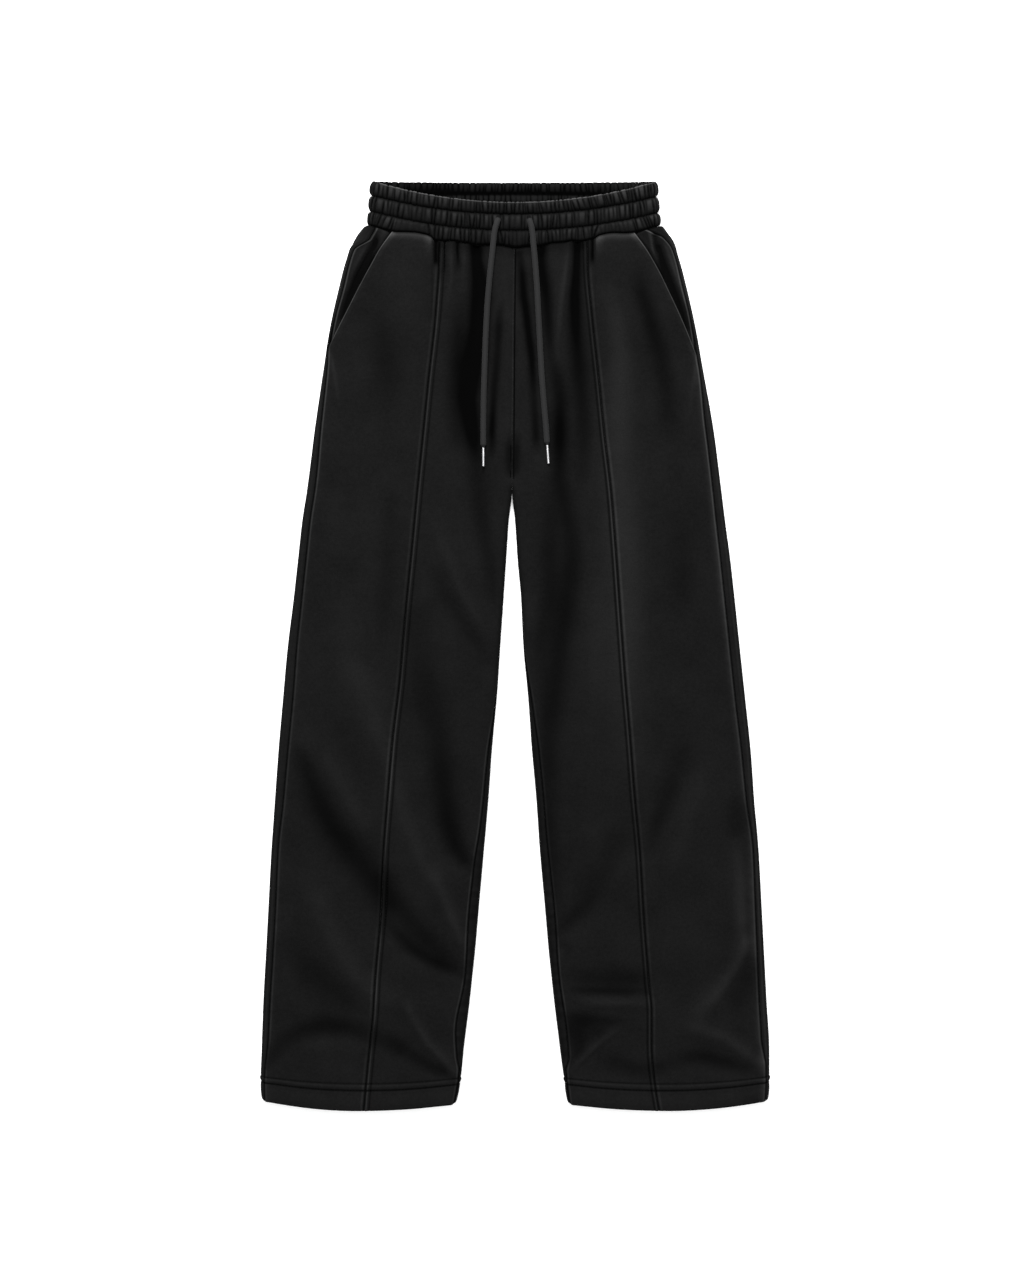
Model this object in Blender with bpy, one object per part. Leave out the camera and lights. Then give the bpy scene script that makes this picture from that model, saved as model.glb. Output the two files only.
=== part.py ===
# Wide-leg sweatpants laid flat on their back, front side up.
# Metres. +X is the viewer's right (the wearer's left), +Y runs to the waist, +Z is up.
# The origin is under the middle of the garment, on the surface it lies on.
#
# Each leg is a flattened tube. A section at one height is a flat underside, a round fold at each
# side and a full upper side, and every panel is a stretch of that ring with a wall of real
# thickness. Heights are measured from the lowest edge of the hem.
import math

import bmesh
import bpy
import numpy as np
from mathutils import Vector

MM = 0.001

LENGTH = 1048 * MM
CLOTH = 2.4 * MM  # wall of one layer of heavy fleece
HEM_WALL = 4.3 * MM  # turned-up double layer
HEM_DEPTH = 22 * MM
HALF_GAP = 0.15 * MM  # half of the clearance at a seam

CROTCH = 698 * MM
CENTRE_TOP = -0.7 * MM  # x of the centre seams at the waist and at the crotch
CENTRE_CROTCH = -3.4 * MM

BAND_BOTTOM = 998 * MM
BAND_RADIUS = 9.5 * MM
BAND_WALL = 6.2 * MM
GROOVE = 1.3 * MM
DIP_WIDTH = 165 * MM  # the front of the waist dips between these half widths
DIP_TOP = 21.2 * MM
DIP_BOTTOM = 24.0 * MM
DIP_REACH = 110 * MM  # how far down the panels the dip is felt

# Outline of the legs, in millimetres: height, outer and inner edge of the wearer's right leg,
# inner and outer edge of the left leg. Above the crotch the inner edges are the centre seams.
OUTLINE = (
    (0, -286, -66, 59, 286),
    (33, -287, -61, 55, 287),
    (67, -286, -58, 51, 287),
    (124, -284, -51, 44, 284),
    (180, -281, -45, 38, 281),
    (237, -278, -40, 33, 278),
    (293, -275, -35, 28, 275),
    (350, -271, -30, 24, 270),
    (406, -267, -26, 19, 266),
    (463, -262, -21, 15, 260),
    (519, -257, -17, 10, 254),
    (576, -250, -13, 7, 248),
    (621, -245, -10, 3, 243),
    (666, -240, -7, 0, 237),
    (698, -235, -3.7, -3.1, 233),
    (768, -226, -3.7, -3.1, 224),
    (836, -216, -3.7, -3.1, 212),
    (881, -209, -3.7, -3.1, 204),
    (926, -199, -3.7, -3.1, 194),
    (960, -190, -3.7, -3.1, 185),
    (983, -180, -3.7, -3.1, 176),
    (998, -169, -3.7, -3.1, 166),
)

# Fullness, in millimetres: height, radius of the side folds, height of the middle.
FULLNESS = (
    (0, 6.4, 15.2),
    (60, 6.2, 15.0),
    (240, 6.2, 15.0),
    (460, 6.4, 15.8),
    (698, 7.0, 17.5),
    (860, 8.0, 20.0),
    (960, 9.2, 21.0),
    (998, 9.5, 19.3),
)

# Strips of the back panel that show outside the side seam and inside the inseam, in
# millimetres: height, width on the right leg, width on the left leg.
SIDE_STRIP = (
    (0, 4, 4),
    (47, 5, 4),
    (83, 7.5, 9),
    (221, 8.5, 7.5),
    (297, 8, 6.5),
    (350, 10, 9),
    (463, 11.5, 11.5),
    (592, 9.5, 11.5),
    (711, 9, 9.5),
    (768, 7, 9),
    (850, 4.5, 4.5),
    (868, 4, 4),
    (930, 5.5, 5.5),
    (966, 5.5, 5.5),
    (976, 9, 10),
    (987, 14, 14),
    (998, 12, 12),
)
INNER_STRIP = (
    (0, 3, 3),
    (42, 3, 3.5),
    (62, 7, 9),
    (100, 12, 10),
    (150, 8.2, 8.6),
    (220, 10.6, 10.4),
    (276, 9.5, 9.5),
    (321, 6.5, 8.5),
    (400, 4.3, 8),
    (446, 1.6, 5),
    (510, 0.0, 1.2),
    (580, 0.0, 0.0),
    (700, 0.0, 0.0),
)

# Long seam down each front, in millimetres: height, x on the right leg, x on the left leg.
FRONT_SEAM = (
    (0, -170, 162),
    (24, -168, 158),
    (75, -163, 153.5),
    (108, -159.5, 153.5),
    (150, -157, 150),
    (221, -151, 144.5),
    (289, -148, 140.5),
    (359, -142.5, 134),
    (423, -137, 129),
    (481, -130, 124),
    (561, -123, 118),
    (631, -116, 113),
    (694, -110, 108),
    (763, -103, 100),
    (823, -97, 94),
    (892, -90, 86.5),
    (944, -86, 83),
    (998, -83, 80.5),
)

# Slant pocket mouth from the side seam to the waistband, in millimetres: height, x on the
# right leg, x on the left leg.
MOUTH = (
    (868, -207, 201),
    (880, -201, 194),
    (900, -190, 184),
    (925, -177, 172),
    (950, -163.5, 160),
    (975, -151.5, 147.5),
    (998, -138, 134),
)
MOUTH_TUCK = 14 * MM  # the facing runs on under the front by this much
FACING_DROP = CLOTH + 1.0 * MM
FACING_WIDE = 12 * MM  # where the facing shows this much, it comes up level at the side seam

# Folds of the upper side, in millimetres: height of the fold (a trough is negative), half
# width, and the points (x, height) of its line.
FOLDS = (
    # wearer's right leg
    (-4.0, 26, ((-238, 411), (-221, 350), (-162, 271), (-144, 237))),
    (-3.5, 18, ((-144, 211), (-123, 198), (-86, 171), (-66, 160))),
    (-3.0, 20, ((-96, 463), (-86, 350), (-60, 290))),
    (-3.0, 20, ((-265, 62), (-224, 93), (-175, 90))),
    (-2.5, 24, ((-200, 140), (-192, 110))),
    (3.0, 14, ((-119, 108), (-74, 56))),
    (2.5, 26, ((-200, 250), (-215, 190))),
    # wearer's left leg
    (-3.5, 22, ((68, 757), (53, 666), (46, 576), (42, 463), (44, 350))),
    (-3.5, 15, ((71, 132), (145, 131))),
    (2.5, 11, ((74, 116), (140, 112))),
    (-3.0, 14, ((69, 92), (104, 88))),
    (3.0, 14, ((259, 190), (235, 151), (210, 120))),
    (-3.0, 13, ((198, 65), (235, 59), (268, 48))),
    (-3.0, 16, ((90, 231), (64, 203))),
    (-2.5, 30, ((165, 350), (155, 290))),
    # below the waistband
    (-4.5, 15, ((-42, 985), (-43, 850), (-42, 745))),
    (-4.0, 13, ((31, 985), (33, 850), (34, 745))),
    (-3.0, 10, ((-75, 985), (-77, 930))),
    (-3.0, 9, ((72, 980), (52, 810))),
    (2.0, 13, ((50, 975), (46, 880))),
    (5.0, 27, ((-118, 950), (-112, 900))),
    (5.0, 27, ((117, 950), (112, 900))),
)

PUFF_SPREAD = 45 * MM  # from a side fold up to the full middle height
FOLD_FADE = 16 * MM
HEM_RISE = 8 * MM  # the hem curves up towards the side folds
HEM_CORNER = 7 * MM
HEM_CORNER_WIDTH = 16 * MM
HEM_REACH = 60 * MM
HEM_BOW = 2.5  # how steeply the hem's curve gathers towards the folds
TOP_FADE = 14 * MM  # the folds of the cloth end this far below the waistband

ROWS = np.array((
    0, 12, 22, 25, 45, 70, 95, 124, 160, 200, 240, 280, 330, 380, 440, 510, 580, 640, 680, 694,
    698, 704, 716, 750, 800, 850, 868, 890, 915, 940, 960, 975, 988, 997.5,
)) * MM
FACING_FROM = 872 * MM
FACING_FIRST_ROW = 877 * MM  # the rows above this height are the facing's too

FRONT_CELLS = 6
OUTER_CROWDING, INNER_CROWDING = 1.25, 1.4  # above 1, cells are narrower near the side fold
BACK_CELLS = (4, 3, 5)  # inner fold, underside, outer fold
FACING_CELLS = (4, 2)  # showing, and under the front

# Channels of the waistband: share of the band's width below its top edge at the sides, the
# same at the centre front, depth in from the fullest surface.
BAND_PROFILE = (
    (0.00, 0.00, 1.5 * MM),
    (0.05, 0.04, 0.5 * MM),
    (0.17, 0.14, 0.0),
    (0.33, 0.26, GROOVE),
    (0.52, 0.44, 0.0),
    (0.70, 0.63, GROOVE),
    (0.85, 0.82, 0.0),
    (0.96, 0.96, 0.5 * MM),
    (1.00, 1.00, 1.5 * MM),
)
BAND_HALF = ((164.0, 162.5), (168.0, 165.5))  # millimetres left and right: top row, bottom row
BAND_FRONT_STATIONS = 15
BAND_BACK_STATIONS = 11
BAND_END_STATIONS = 3

# Free ends of the drawcord, in millimetres from the hole to the tip: x, height, z.
CORD = 6.4 * MM
CORD_ROUTES = {
    "right": (
        (-18.2, 1006.2, 17.0), (-19.0, 1003.5, 19.0), (-20.2, 999.5, 21.2), (-21.8, 994.0, 22.3),
        (-23.4, 986.0, 22.5), (-24.4, 977.0, 22.7), (-25.6, 965.0, 22.7), (-27.2, 950.0, 22.7),
        (-29.2, 930.0, 22.4), (-31.3, 903.0, 21.7), (-33.0, 870.0, 21.0), (-34.2, 835.0, 20.2),
        (-35.2, 803.0, 19.4), (-35.6, 770.0, 18.7), (-35.6, 747.0, 18.2),
    ),
    "left": (
        (15.4, 1005.6, 17.0), (16.1, 1002.9, 19.0), (17.2, 998.9, 21.2), (18.5, 993.4, 22.3),
        (19.8, 985.0, 22.5), (20.6, 975.0, 22.7), (21.8, 963.0, 22.4), (23.2, 947.0, 22.1),
        (24.8, 925.0, 21.7), (26.1, 900.0, 21.3), (28.2, 860.0, 20.4), (30.2, 825.0, 19.6),
        (32.6, 795.0, 18.8), (34.8, 770.0, 18.1), (36.2, 750.0, 17.7),
    ),
}
CORD_STEP = 7 * MM
HOLE = 8.4 * MM
HOLE_DEPTH = 16 * MM
HOLE_CENTRE = 7.4 * MM  # along the cord from its hidden start
TIP_DIAMETER = 2.8 * MM
TIP_LENGTH = 21 * MM
TIP_BEVEL = 0.4 * MM
TIP_LIFT = 0.2 * MM  # how much higher than the cord's end the tip's far end lies

BLACK_FLEECE = (0.0105, 0.0105, 0.0108, 1.0)
BLACK_RIB = (0.0095, 0.0095, 0.0100, 1.0)
GREY_CORD = (0.055, 0.055, 0.057, 1.0)
DULL_STEEL = (0.42, 0.42, 0.43, 1.0)


def clear_scene():
    for obj in list(bpy.data.objects):
        bpy.data.objects.remove(obj, do_unlink=True)


def make_material(name, colour, roughness, metallic=0.0):
    material = bpy.data.materials.new(name)
    material.use_nodes = True
    shader = material.node_tree.nodes["Principled BSDF"]
    shader.inputs["Base Color"].default_value = colour
    shader.inputs["Roughness"].default_value = roughness
    shader.inputs["Metallic"].default_value = metallic
    material.diffuse_color = colour
    return material


def ease(t):
    t = min(max(t, 0.0), 1.0)
    return t * t * (3 - 2 * t)


def read_table(table, height, column):
    # A smooth curve through one column of a table whose first column is the height, all in mm.
    keys = [row[0] * MM for row in table]
    values = [row[column] * MM for row in table]
    if height <= keys[0]:
        return values[0]
    if height >= keys[-1]:
        return values[-1]
    i = max(k for k in range(len(keys) - 1) if keys[k] <= height)
    steps = [(values[k + 1] - values[k]) / (keys[k + 1] - keys[k]) for k in range(len(keys) - 1)]

    def slope(k):
        if k == 0 or k == len(steps):
            return steps[min(k, len(steps) - 1)]
        before, after = steps[k - 1], steps[k]
        return 0.0 if before * after <= 0 else 2 * before * after / (before + after)

    span = keys[i + 1] - keys[i]
    t = (height - keys[i]) / span
    return (
        (2 * t**3 - 3 * t**2 + 1) * values[i]
        + (t**3 - 2 * t**2 + t) * span * slope(i)
        + (3 * t**2 - 2 * t**3) * values[i + 1]
        + (t**3 - t**2) * span * slope(i + 1)
    )


def distance_to_line(x, height, line):
    best = 1.0
    for (ax, ah), (bx, bh) in zip(line, line[1:]):
        ax, ah, bx, bh = ax * MM, ah * MM, bx * MM, bh * MM
        dx, dh = bx - ax, bh - ah
        t = ((x - ax) * dx + (height - ah) * dh) / (dx * dx + dh * dh)
        t = min(max(t, 0.0), 1.0)
        best = min(best, math.hypot(x - ax - t * dx, height - ah - t * dh))
    return best


def fold_relief(x, height):
    total = 0.0
    for depth, half_width, line in FOLDS:
        share = distance_to_line(x, height, line) / (half_width * MM)
        if share < 3:
            total += depth * MM * math.exp(-share * share)
    return total


def front_dip(x, z, radius, depth):
    # The front of the waist sits lower than the back: nothing at the side folds or underneath.
    across = max(0.0, 1 - (x / DIP_WIDTH) ** 2)
    return depth * across * ease(z / (2 * radius))


class Leg:
    # One half of the body: a leg, and above the crotch its side of the hips.
    def __init__(self, side):
        self.side = side
        self.sign = -1 if side == "right" else 1
        self.columns = {"outer": 1, "inner": 2} if side == "right" else {"outer": 4, "inner": 3}
        self.strip = 1 if side == "right" else 2

    def edge(self, end, height):
        x = read_table(OUTLINE, height, self.columns[end])
        if end == "inner" and height > CROTCH:
            up = (height - CROTCH) / (LENGTH - CROTCH)
            x += (CENTRE_TOP - CENTRE_CROTCH) * up
        return x

    def radius(self, height):
        return read_table(FULLNESS, height, 1)

    def along(self, height, x, end="outer"):
        # The way round the ring from an end's outermost point to the upper point at x.
        r = self.radius(height)
        d = abs(x - self.edge(end, height))
        return r * math.acos(1 - d / r) if d < r else r * math.pi / 2 + d - r

    def side_seam(self, height):
        edge = self.edge("outer", height)
        x = edge - self.sign * read_table(SIDE_STRIP, height, self.strip)
        return self.along(height, x)

    def inseam(self, height):
        strip = read_table(INNER_STRIP, height, self.strip)
        x = self.edge("inner", height) + self.sign * strip
        return 0.0 if strip < 0.01 * MM else self.along(height, x, "inner")

    def mouth(self, height):
        return self.along(height, read_table(MOUTH, height, self.strip))

    def front_seam(self, height, end):
        return self.along(height, read_table(FRONT_SEAM, height, self.strip), end)

    def surface(self, height, end, s):
        # s is measured round the ring from the end's outermost point: up is positive.
        r, full = self.radius(height), read_table(FULLNESS, height, 2)
        quarter = r * math.pi / 2
        d = r * (1 - math.cos(s / r)) if abs(s) < quarter else r + abs(s) - quarter
        outer, inner = self.edge("outer", height), self.edge("inner", height)
        x = outer - self.sign * d if end == "outer" else inner + self.sign * d
        from_outer = d if end == "outer" else abs(x - outer)
        from_inner = d if end == "inner" else abs(x - inner)
        from_inner = math.hypot(from_inner, max(0.0, height - CROTCH))
        near = min(from_outer, from_inner, r)
        round_part = math.sqrt(max(0.0, r * r - (r - near) ** 2))
        if s <= 0:
            z = r - round_part
        else:
            inside = min(from_outer, from_inner) - r
            puff = ease((from_outer - r) / PUFF_SPREAD) * ease((from_inner - r) / PUFF_SPREAD)
            z = r + round_part + (full - 2 * r) * puff
            top_fade = ease((BAND_BOTTOM - height) / TOP_FADE)
            z += fold_relief(x, height) * ease(inside / FOLD_FADE) * top_fade
        y = height
        if s > 0:
            felt = ease(1 - (BAND_BOTTOM - height) / DIP_REACH)
            y -= front_dip(x, z, r, DIP_BOTTOM) * felt
        if height < HEM_REACH:
            across = abs(x - outer) / abs(inner - outer)
            rise = HEM_RISE * abs(2 * across - 1) ** HEM_BOW
            to_fold = min(from_outer, from_inner)
            rise += HEM_CORNER * max(0.0, 1 - to_fold / HEM_CORNER_WIDTH) ** 2
            y += rise * (1 - height / HEM_REACH)
        return np.array((x, y - LENGTH / 2, z))

    def normal(self, height, end, s):
        step = 0.02 * MM
        low = height - step
        high = height if low < CROTCH <= height else height + step
        round_way = self.surface(height, end, s + step) - self.surface(height, end, s - step)
        up_way = self.surface(high, end, s) - self.surface(low, end, s)
        n = np.cross(up_way, round_way)
        n /= np.linalg.norm(n)
        outward = 1 if (end == "outer") == (self.sign > 0) else -1
        return n * outward

    def wall(self, rows, end, ways, depth=None):
        # Outer and inner faces of a panel; ways(height) lists s along the section.
        outer, inner = [], []
        for height in rows:
            thick = HEM_WALL if height <= HEM_DEPTH else CLOTH
            outer_row, inner_row = [], []
            for i, place in enumerate(ways(height)):
                side, s = place if isinstance(place, tuple) else (end, place)
                point, n = self.surface(height, side, s), self.normal(height, side, s)
                down = depth(height, i) if depth else 0.0
                outer_row.append(point - n * down)
                inner_row.append(point - n * (down + thick))
            outer.append(outer_row)
            inner.append(inner_row)
        return np.array(outer), np.array(inner)


def spread(start, end, cells, power=1.0):
    return [start + (end - start) * (i / cells) ** power for i in range(cells + 1)]


def closed_wall(name, outer, inner, material):
    # Joins two grids of points into one closed shell, faces out.
    rows, columns = outer.shape[:2]
    mesh = bmesh.new()
    top, under = [[[mesh.verts.new(p) for p in row] for row in grid] for grid in (outer, inner)]
    for i in range(rows - 1):
        for j in range(columns - 1):
            mesh.faces.new((top[i][j], top[i][j + 1], top[i + 1][j + 1], top[i + 1][j]))
            mesh.faces.new((under[i][j], under[i + 1][j], under[i + 1][j + 1], under[i][j + 1]))
    for i in range(rows - 1):
        for j, turn in ((0, 1), (columns - 1, -1)):
            ring = (top[i][j], top[i + 1][j], under[i + 1][j], under[i][j])
            mesh.faces.new(ring[::turn])
    for j in range(columns - 1):
        for i, turn in ((0, -1), (rows - 1, 1)):
            ring = (top[i][j], top[i][j + 1], under[i][j + 1], under[i][j])
            mesh.faces.new(ring[::turn])
    bmesh.ops.recalc_face_normals(mesh, faces=mesh.faces)
    bmesh.ops.triangulate(mesh, faces=mesh.faces)
    return add_mesh(name, mesh, material)


def add_mesh(name, mesh, material):
    data = bpy.data.meshes.new(name)
    mesh.to_mesh(data)
    mesh.free()
    data.shade_smooth()
    data.set_sharp_from_angle(angle=math.radians(50))
    data.materials.append(material)
    obj = bpy.data.objects.new(name, data)
    bpy.context.collection.objects.link(obj)
    return obj


def build_front_outer(leg, material):
    def ways(height):
        start = leg.side_seam(height) if height < MOUTH[0][0] * MM else leg.mouth(height)
        end = leg.front_seam(height, "outer")
        return spread(start + HALF_GAP, end - HALF_GAP, FRONT_CELLS, OUTER_CROWDING)

    outer, inner = leg.wall(ROWS, "outer", ways)
    closed_wall("front_outer_" + leg.side, outer, inner, material)


def build_front_inner(leg, material):
    def ways(height):
        start = leg.inseam(height) if height <= CROTCH else 0.0
        end = leg.front_seam(height, "inner")
        return spread(start + HALF_GAP, end - HALF_GAP, FRONT_CELLS, INNER_CROWDING)

    outer, inner = leg.wall(ROWS, "inner", ways)
    closed_wall("front_inner_" + leg.side, outer, inner, material)


def build_back(leg, material):
    inner_cells, under_cells, outer_cells = BACK_CELLS

    def ways(height):
        quarter = leg.radius(height) * math.pi / 2
        seam = leg.inseam(height) if height <= CROTCH else 0.0
        width = abs(leg.edge("outer", height) - leg.edge("inner", height))
        across = width - 2 * leg.radius(height)
        inner_way = [("inner", s) for s in spread(seam - HALF_GAP, -quarter, inner_cells)]
        under_way = [
            ("outer", s) for s in spread(-quarter - across, -quarter, under_cells)[1:-1]
        ]
        side = leg.side_seam(height) - HALF_GAP
        outer_way = [("outer", s) for s in spread(-quarter, side, outer_cells)]
        return inner_way + under_way + outer_way

    outer, inner = leg.wall(ROWS, "outer", ways)
    closed_wall("back_" + leg.side, outer, inner, material)


def build_facing(leg, material):
    rows = [FACING_FROM] + [height for height in ROWS if height > FACING_FIRST_ROW]
    showing, hidden = FACING_CELLS

    def ways(height):
        side, mouth = leg.side_seam(height) + HALF_GAP, leg.mouth(height)
        return spread(side, mouth, showing) + spread(mouth, mouth + MOUTH_TUCK, hidden)[1:]

    def depth(height, i):
        side, mouth = leg.side_seam(height), leg.mouth(height)
        wide = min(1.0, (mouth - side) / FACING_WIDE)
        return FACING_DROP * (1 - wide * (1 - ease(i / showing)))

    outer, inner = leg.wall(rows, "outer", ways, depth)
    closed_wall("pocket_facing_" + leg.side, outer, inner, material)


def band_stations():
    # Places round the flattened ring: x as a share of the straight part, and the end angle.
    stations = [(u, math.pi / 2) for u in np.linspace(-1, 1, BAND_FRONT_STATIONS)]
    turn = math.pi / (BAND_END_STATIONS + 1)
    stations += [(1.0, math.pi / 2 - turn * (k + 1)) for k in range(BAND_END_STATIONS)]
    stations += [(u, -math.pi / 2) for u in np.linspace(1, -1, BAND_BACK_STATIONS)]
    stations += [(-1.0, -math.pi / 2 - turn * (k + 1)) for k in range(BAND_END_STATIONS)]
    return stations


def band_point(share, angle, side_row, centre_row, inset):
    left, right = (
        (a + (b - a) * side_row) * MM for a, b in zip(BAND_HALF[0], BAND_HALF[1])
    )
    half = left if share < 0 else right
    x = share * (half - BAND_RADIUS) + math.cos(angle) * (BAND_RADIUS - inset)
    z = BAND_RADIUS + math.sin(angle) * (BAND_RADIUS - inset)
    full_z = BAND_RADIUS + math.sin(angle) * BAND_RADIUS
    height = LENGTH - (LENGTH - BAND_BOTTOM) * side_row
    top_y = LENGTH - front_dip(x, full_z, BAND_RADIUS, DIP_TOP)
    bottom_y = BAND_BOTTOM - front_dip(x, full_z, BAND_RADIUS, DIP_BOTTOM)
    across = front_dip(x, full_z, BAND_RADIUS, 1.0)
    row = side_row + (centre_row - side_row) * across
    height = top_y + (bottom_y - top_y) * row
    return Vector((x, height - LENGTH / 2, z))


def build_waistband(material):
    mesh = bmesh.new()
    rings = []
    for share, angle in band_stations():
        outside = [band_point(share, angle, a, b, n) for a, b, n in BAND_PROFILE]
        inside = [band_point(share, angle, a, b, BAND_WALL - n) for a, b, n in BAND_PROFILE]
        rings.append([mesh.verts.new(p) for p in outside + inside[::-1]])
    for ring, following in zip(rings, rings[1:] + rings[:1]):
        count = len(ring)
        for i in range(count):
            j = (i + 1) % count
            mesh.faces.new((ring[i], ring[j], following[j], following[i]))
    bmesh.ops.recalc_face_normals(mesh, faces=mesh.faces)
    bmesh.ops.triangulate(mesh, faces=mesh.faces)
    band = add_mesh("waistband", mesh, material)
    for side in CORD_ROUTES:
        cutter = hole_cutter(side)
        cut = band.modifiers.new("hole_" + side, "BOOLEAN")
        cut.operation = "DIFFERENCE"
        cut.solver = "EXACT"
        cut.object = cutter
    return band


def route_points(side):
    return [
        Vector((x * MM, height * MM - LENGTH / 2, z * MM)) for x, height, z in CORD_ROUTES[side]
    ]


def hole_cutter(side):
    # The sewn hole follows the cord's way out of the band.
    start, following = route_points(side)[:2]
    way = (following - start).normalized()
    mesh = bmesh.new()
    bmesh.ops.create_cone(
        mesh, cap_ends=True, segments=12, radius1=HOLE / 2, radius2=HOLE / 2, depth=HOLE_DEPTH
    )
    turn = Vector((0, 0, 1)).rotation_difference(way).to_matrix().to_4x4()
    bmesh.ops.transform(mesh, matrix=turn, verts=mesh.verts)
    bmesh.ops.translate(mesh, vec=start + way * HOLE_CENTRE, verts=mesh.verts)
    data = bpy.data.meshes.new("hole_cutter_" + side)
    mesh.to_mesh(data)
    mesh.free()
    cutter = bpy.data.objects.new("hole_cutter_" + side, data)
    cutter.hide_render = True
    cutter.display_type = "WIRE"
    bpy.context.collection.objects.link(cutter)
    return cutter


def smooth_line(points, step):
    # Points about a step apart on a smooth curve through the given points.
    ends = [points[0] * 2 - points[1]] + points + [points[-1] * 2 - points[-2]]
    fine = []
    for a, b, c, d in zip(ends, ends[1:], ends[2:], ends[3:]):
        for k in range(16):
            t = k / 16
            fine.append(
                0.5 * (2 * b + (c - a) * t + (2 * a - 5 * b + 4 * c - d) * t * t
                       + (3 * b - a - 3 * c + d) * t**3)
            )
    fine.append(points[-1])
    lengths = [0.0]
    for before, after in zip(fine, fine[1:]):
        lengths.append(lengths[-1] + (after - before).length)
    count = max(2, round(lengths[-1] / step))
    line = []
    for k in range(count + 1):
        want = lengths[-1] * k / count
        i = max(j for j in range(len(lengths)) if lengths[j] <= want + 1e-9)
        i = min(i, len(fine) - 2)
        t = (want - lengths[i]) / (lengths[i + 1] - lengths[i])
        line.append(fine[i].lerp(fine[i + 1], min(t, 1.0)))
    return line


def build_cord(side, material):
    line = smooth_line(route_points(side), CORD_STEP)
    curve = bpy.data.curves.new("drawcord_" + side, "CURVE")
    curve.dimensions = "3D"
    curve.bevel_depth = CORD / 2
    curve.bevel_resolution = 2
    curve.use_fill_caps = True
    spline = curve.splines.new("POLY")
    spline.points.add(len(line) - 1)
    for point, place in zip(spline.points, line):
        point.co = (*place, 1.0)
    curve.materials.append(material)
    cord = bpy.data.objects.new("drawcord_" + side, curve)
    bpy.context.collection.objects.link(cord)


def build_tip(side, material):
    before, last = route_points(side)[-2:]
    way = (last - before).normalized()
    start = last + way * 2 * HALF_GAP
    level = Vector((way.x, way.y, 0)).normalized()
    far = start + level * TIP_LENGTH + Vector((0, 0, TIP_LIFT))
    mesh = bmesh.new()
    bmesh.ops.create_cone(
        mesh, cap_ends=True, segments=12,
        radius1=TIP_DIAMETER / 2, radius2=TIP_DIAMETER / 2, depth=TIP_LENGTH,
    )
    rim = [e for e in mesh.edges if all(v.co.z > 0 for v in e.verts)]
    bmesh.ops.bevel(mesh, geom=rim, offset=TIP_BEVEL, segments=1, affect="EDGES")
    turn = Vector((0, 0, 1)).rotation_difference(far - start).to_matrix().to_4x4()
    bmesh.ops.transform(mesh, matrix=turn, verts=mesh.verts)
    bmesh.ops.translate(mesh, vec=(start + far) / 2, verts=mesh.verts)
    add_mesh("cord_tip_" + side, mesh, material)


def main():
    clear_scene()
    fleece = make_material("black_fleece", BLACK_FLEECE, 0.95)
    band = make_material("black_waistband_fleece", BLACK_RIB, 0.95)
    cord = make_material("charcoal_cord", GREY_CORD, 0.85)
    steel = make_material("dull_steel", DULL_STEEL, 0.35, 1.0)
    for side in ("right", "left"):
        leg = Leg(side)
        build_front_outer(leg, fleece)
        build_front_inner(leg, fleece)
        build_back(leg, fleece)
        build_facing(leg, fleece)
    build_waistband(band)
    for side in CORD_ROUTES:
        build_cord(side, cord)
        build_tip(side, steel)


main()
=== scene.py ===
import math

import bpy
import numpy as np
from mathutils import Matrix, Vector


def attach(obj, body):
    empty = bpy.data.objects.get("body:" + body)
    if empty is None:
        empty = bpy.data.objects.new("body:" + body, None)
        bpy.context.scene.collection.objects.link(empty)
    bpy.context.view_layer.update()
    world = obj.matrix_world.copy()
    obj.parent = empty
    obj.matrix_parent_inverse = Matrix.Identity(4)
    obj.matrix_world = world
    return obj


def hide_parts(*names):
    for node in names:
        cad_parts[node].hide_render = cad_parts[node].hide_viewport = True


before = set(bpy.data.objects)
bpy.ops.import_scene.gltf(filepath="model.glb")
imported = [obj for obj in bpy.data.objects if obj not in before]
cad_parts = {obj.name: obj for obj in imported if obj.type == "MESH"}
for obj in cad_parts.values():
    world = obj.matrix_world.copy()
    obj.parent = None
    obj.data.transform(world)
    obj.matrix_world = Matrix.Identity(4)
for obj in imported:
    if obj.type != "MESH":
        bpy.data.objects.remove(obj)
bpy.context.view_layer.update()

for spare in ("Cube", "Light", "Camera"):  # what a new file opens with
    if spare in bpy.data.objects:
        bpy.data.objects.remove(bpy.data.objects[spare], do_unlink=True)

# Black wide-leg sweatpants laid flat on their back. Metres; +X right, +Y to the waist, +Z up.
# Heights run up from the lowest edge of the hem, and the tables are in millimetres.
# Right and left legs, pockets and cords are the wearer's, so the right ones lie at -X.
mm = 0.001
fullLength = 1048 * mm
crotch = 698 * mm
bandBottom = 998 * mm
seamGap = 0.03 * mm  # half of the clearance at a seam

# Camera, floor and light.
cameraSetup = {
    "height": 3.0,
    "middle": (-0.0034, 0.0065),
    "shownLength": 1.4475,  # floor between the top and the bottom of the frame
    "sensor": 24,
    "clipEnd": 60,
}
floorSetup = {
    "size": 14.0,
    "colour": (0.86, 0.86, 0.86, 1.0),
    "roughness": 0.85,
    "specular": 0.1,
    "glow": 0.35,  # a table lit from below
}
lightSetup = {
    "sky": 0.62,
    "softbox": {"size": 1.9, "power": 400, "place": (-0.35, 3.3, 2.9)},
    "fill": {"size": 2.4, "power": 70, "place": (0.3, -0.4, 4.6)},
}
white = (1, 1, 1, 1)


def addObject(name, data, place):
    made = bpy.data.objects.new(name, data)
    made.location = place
    bpy.context.scene.collection.objects.link(made)
    return made


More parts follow.
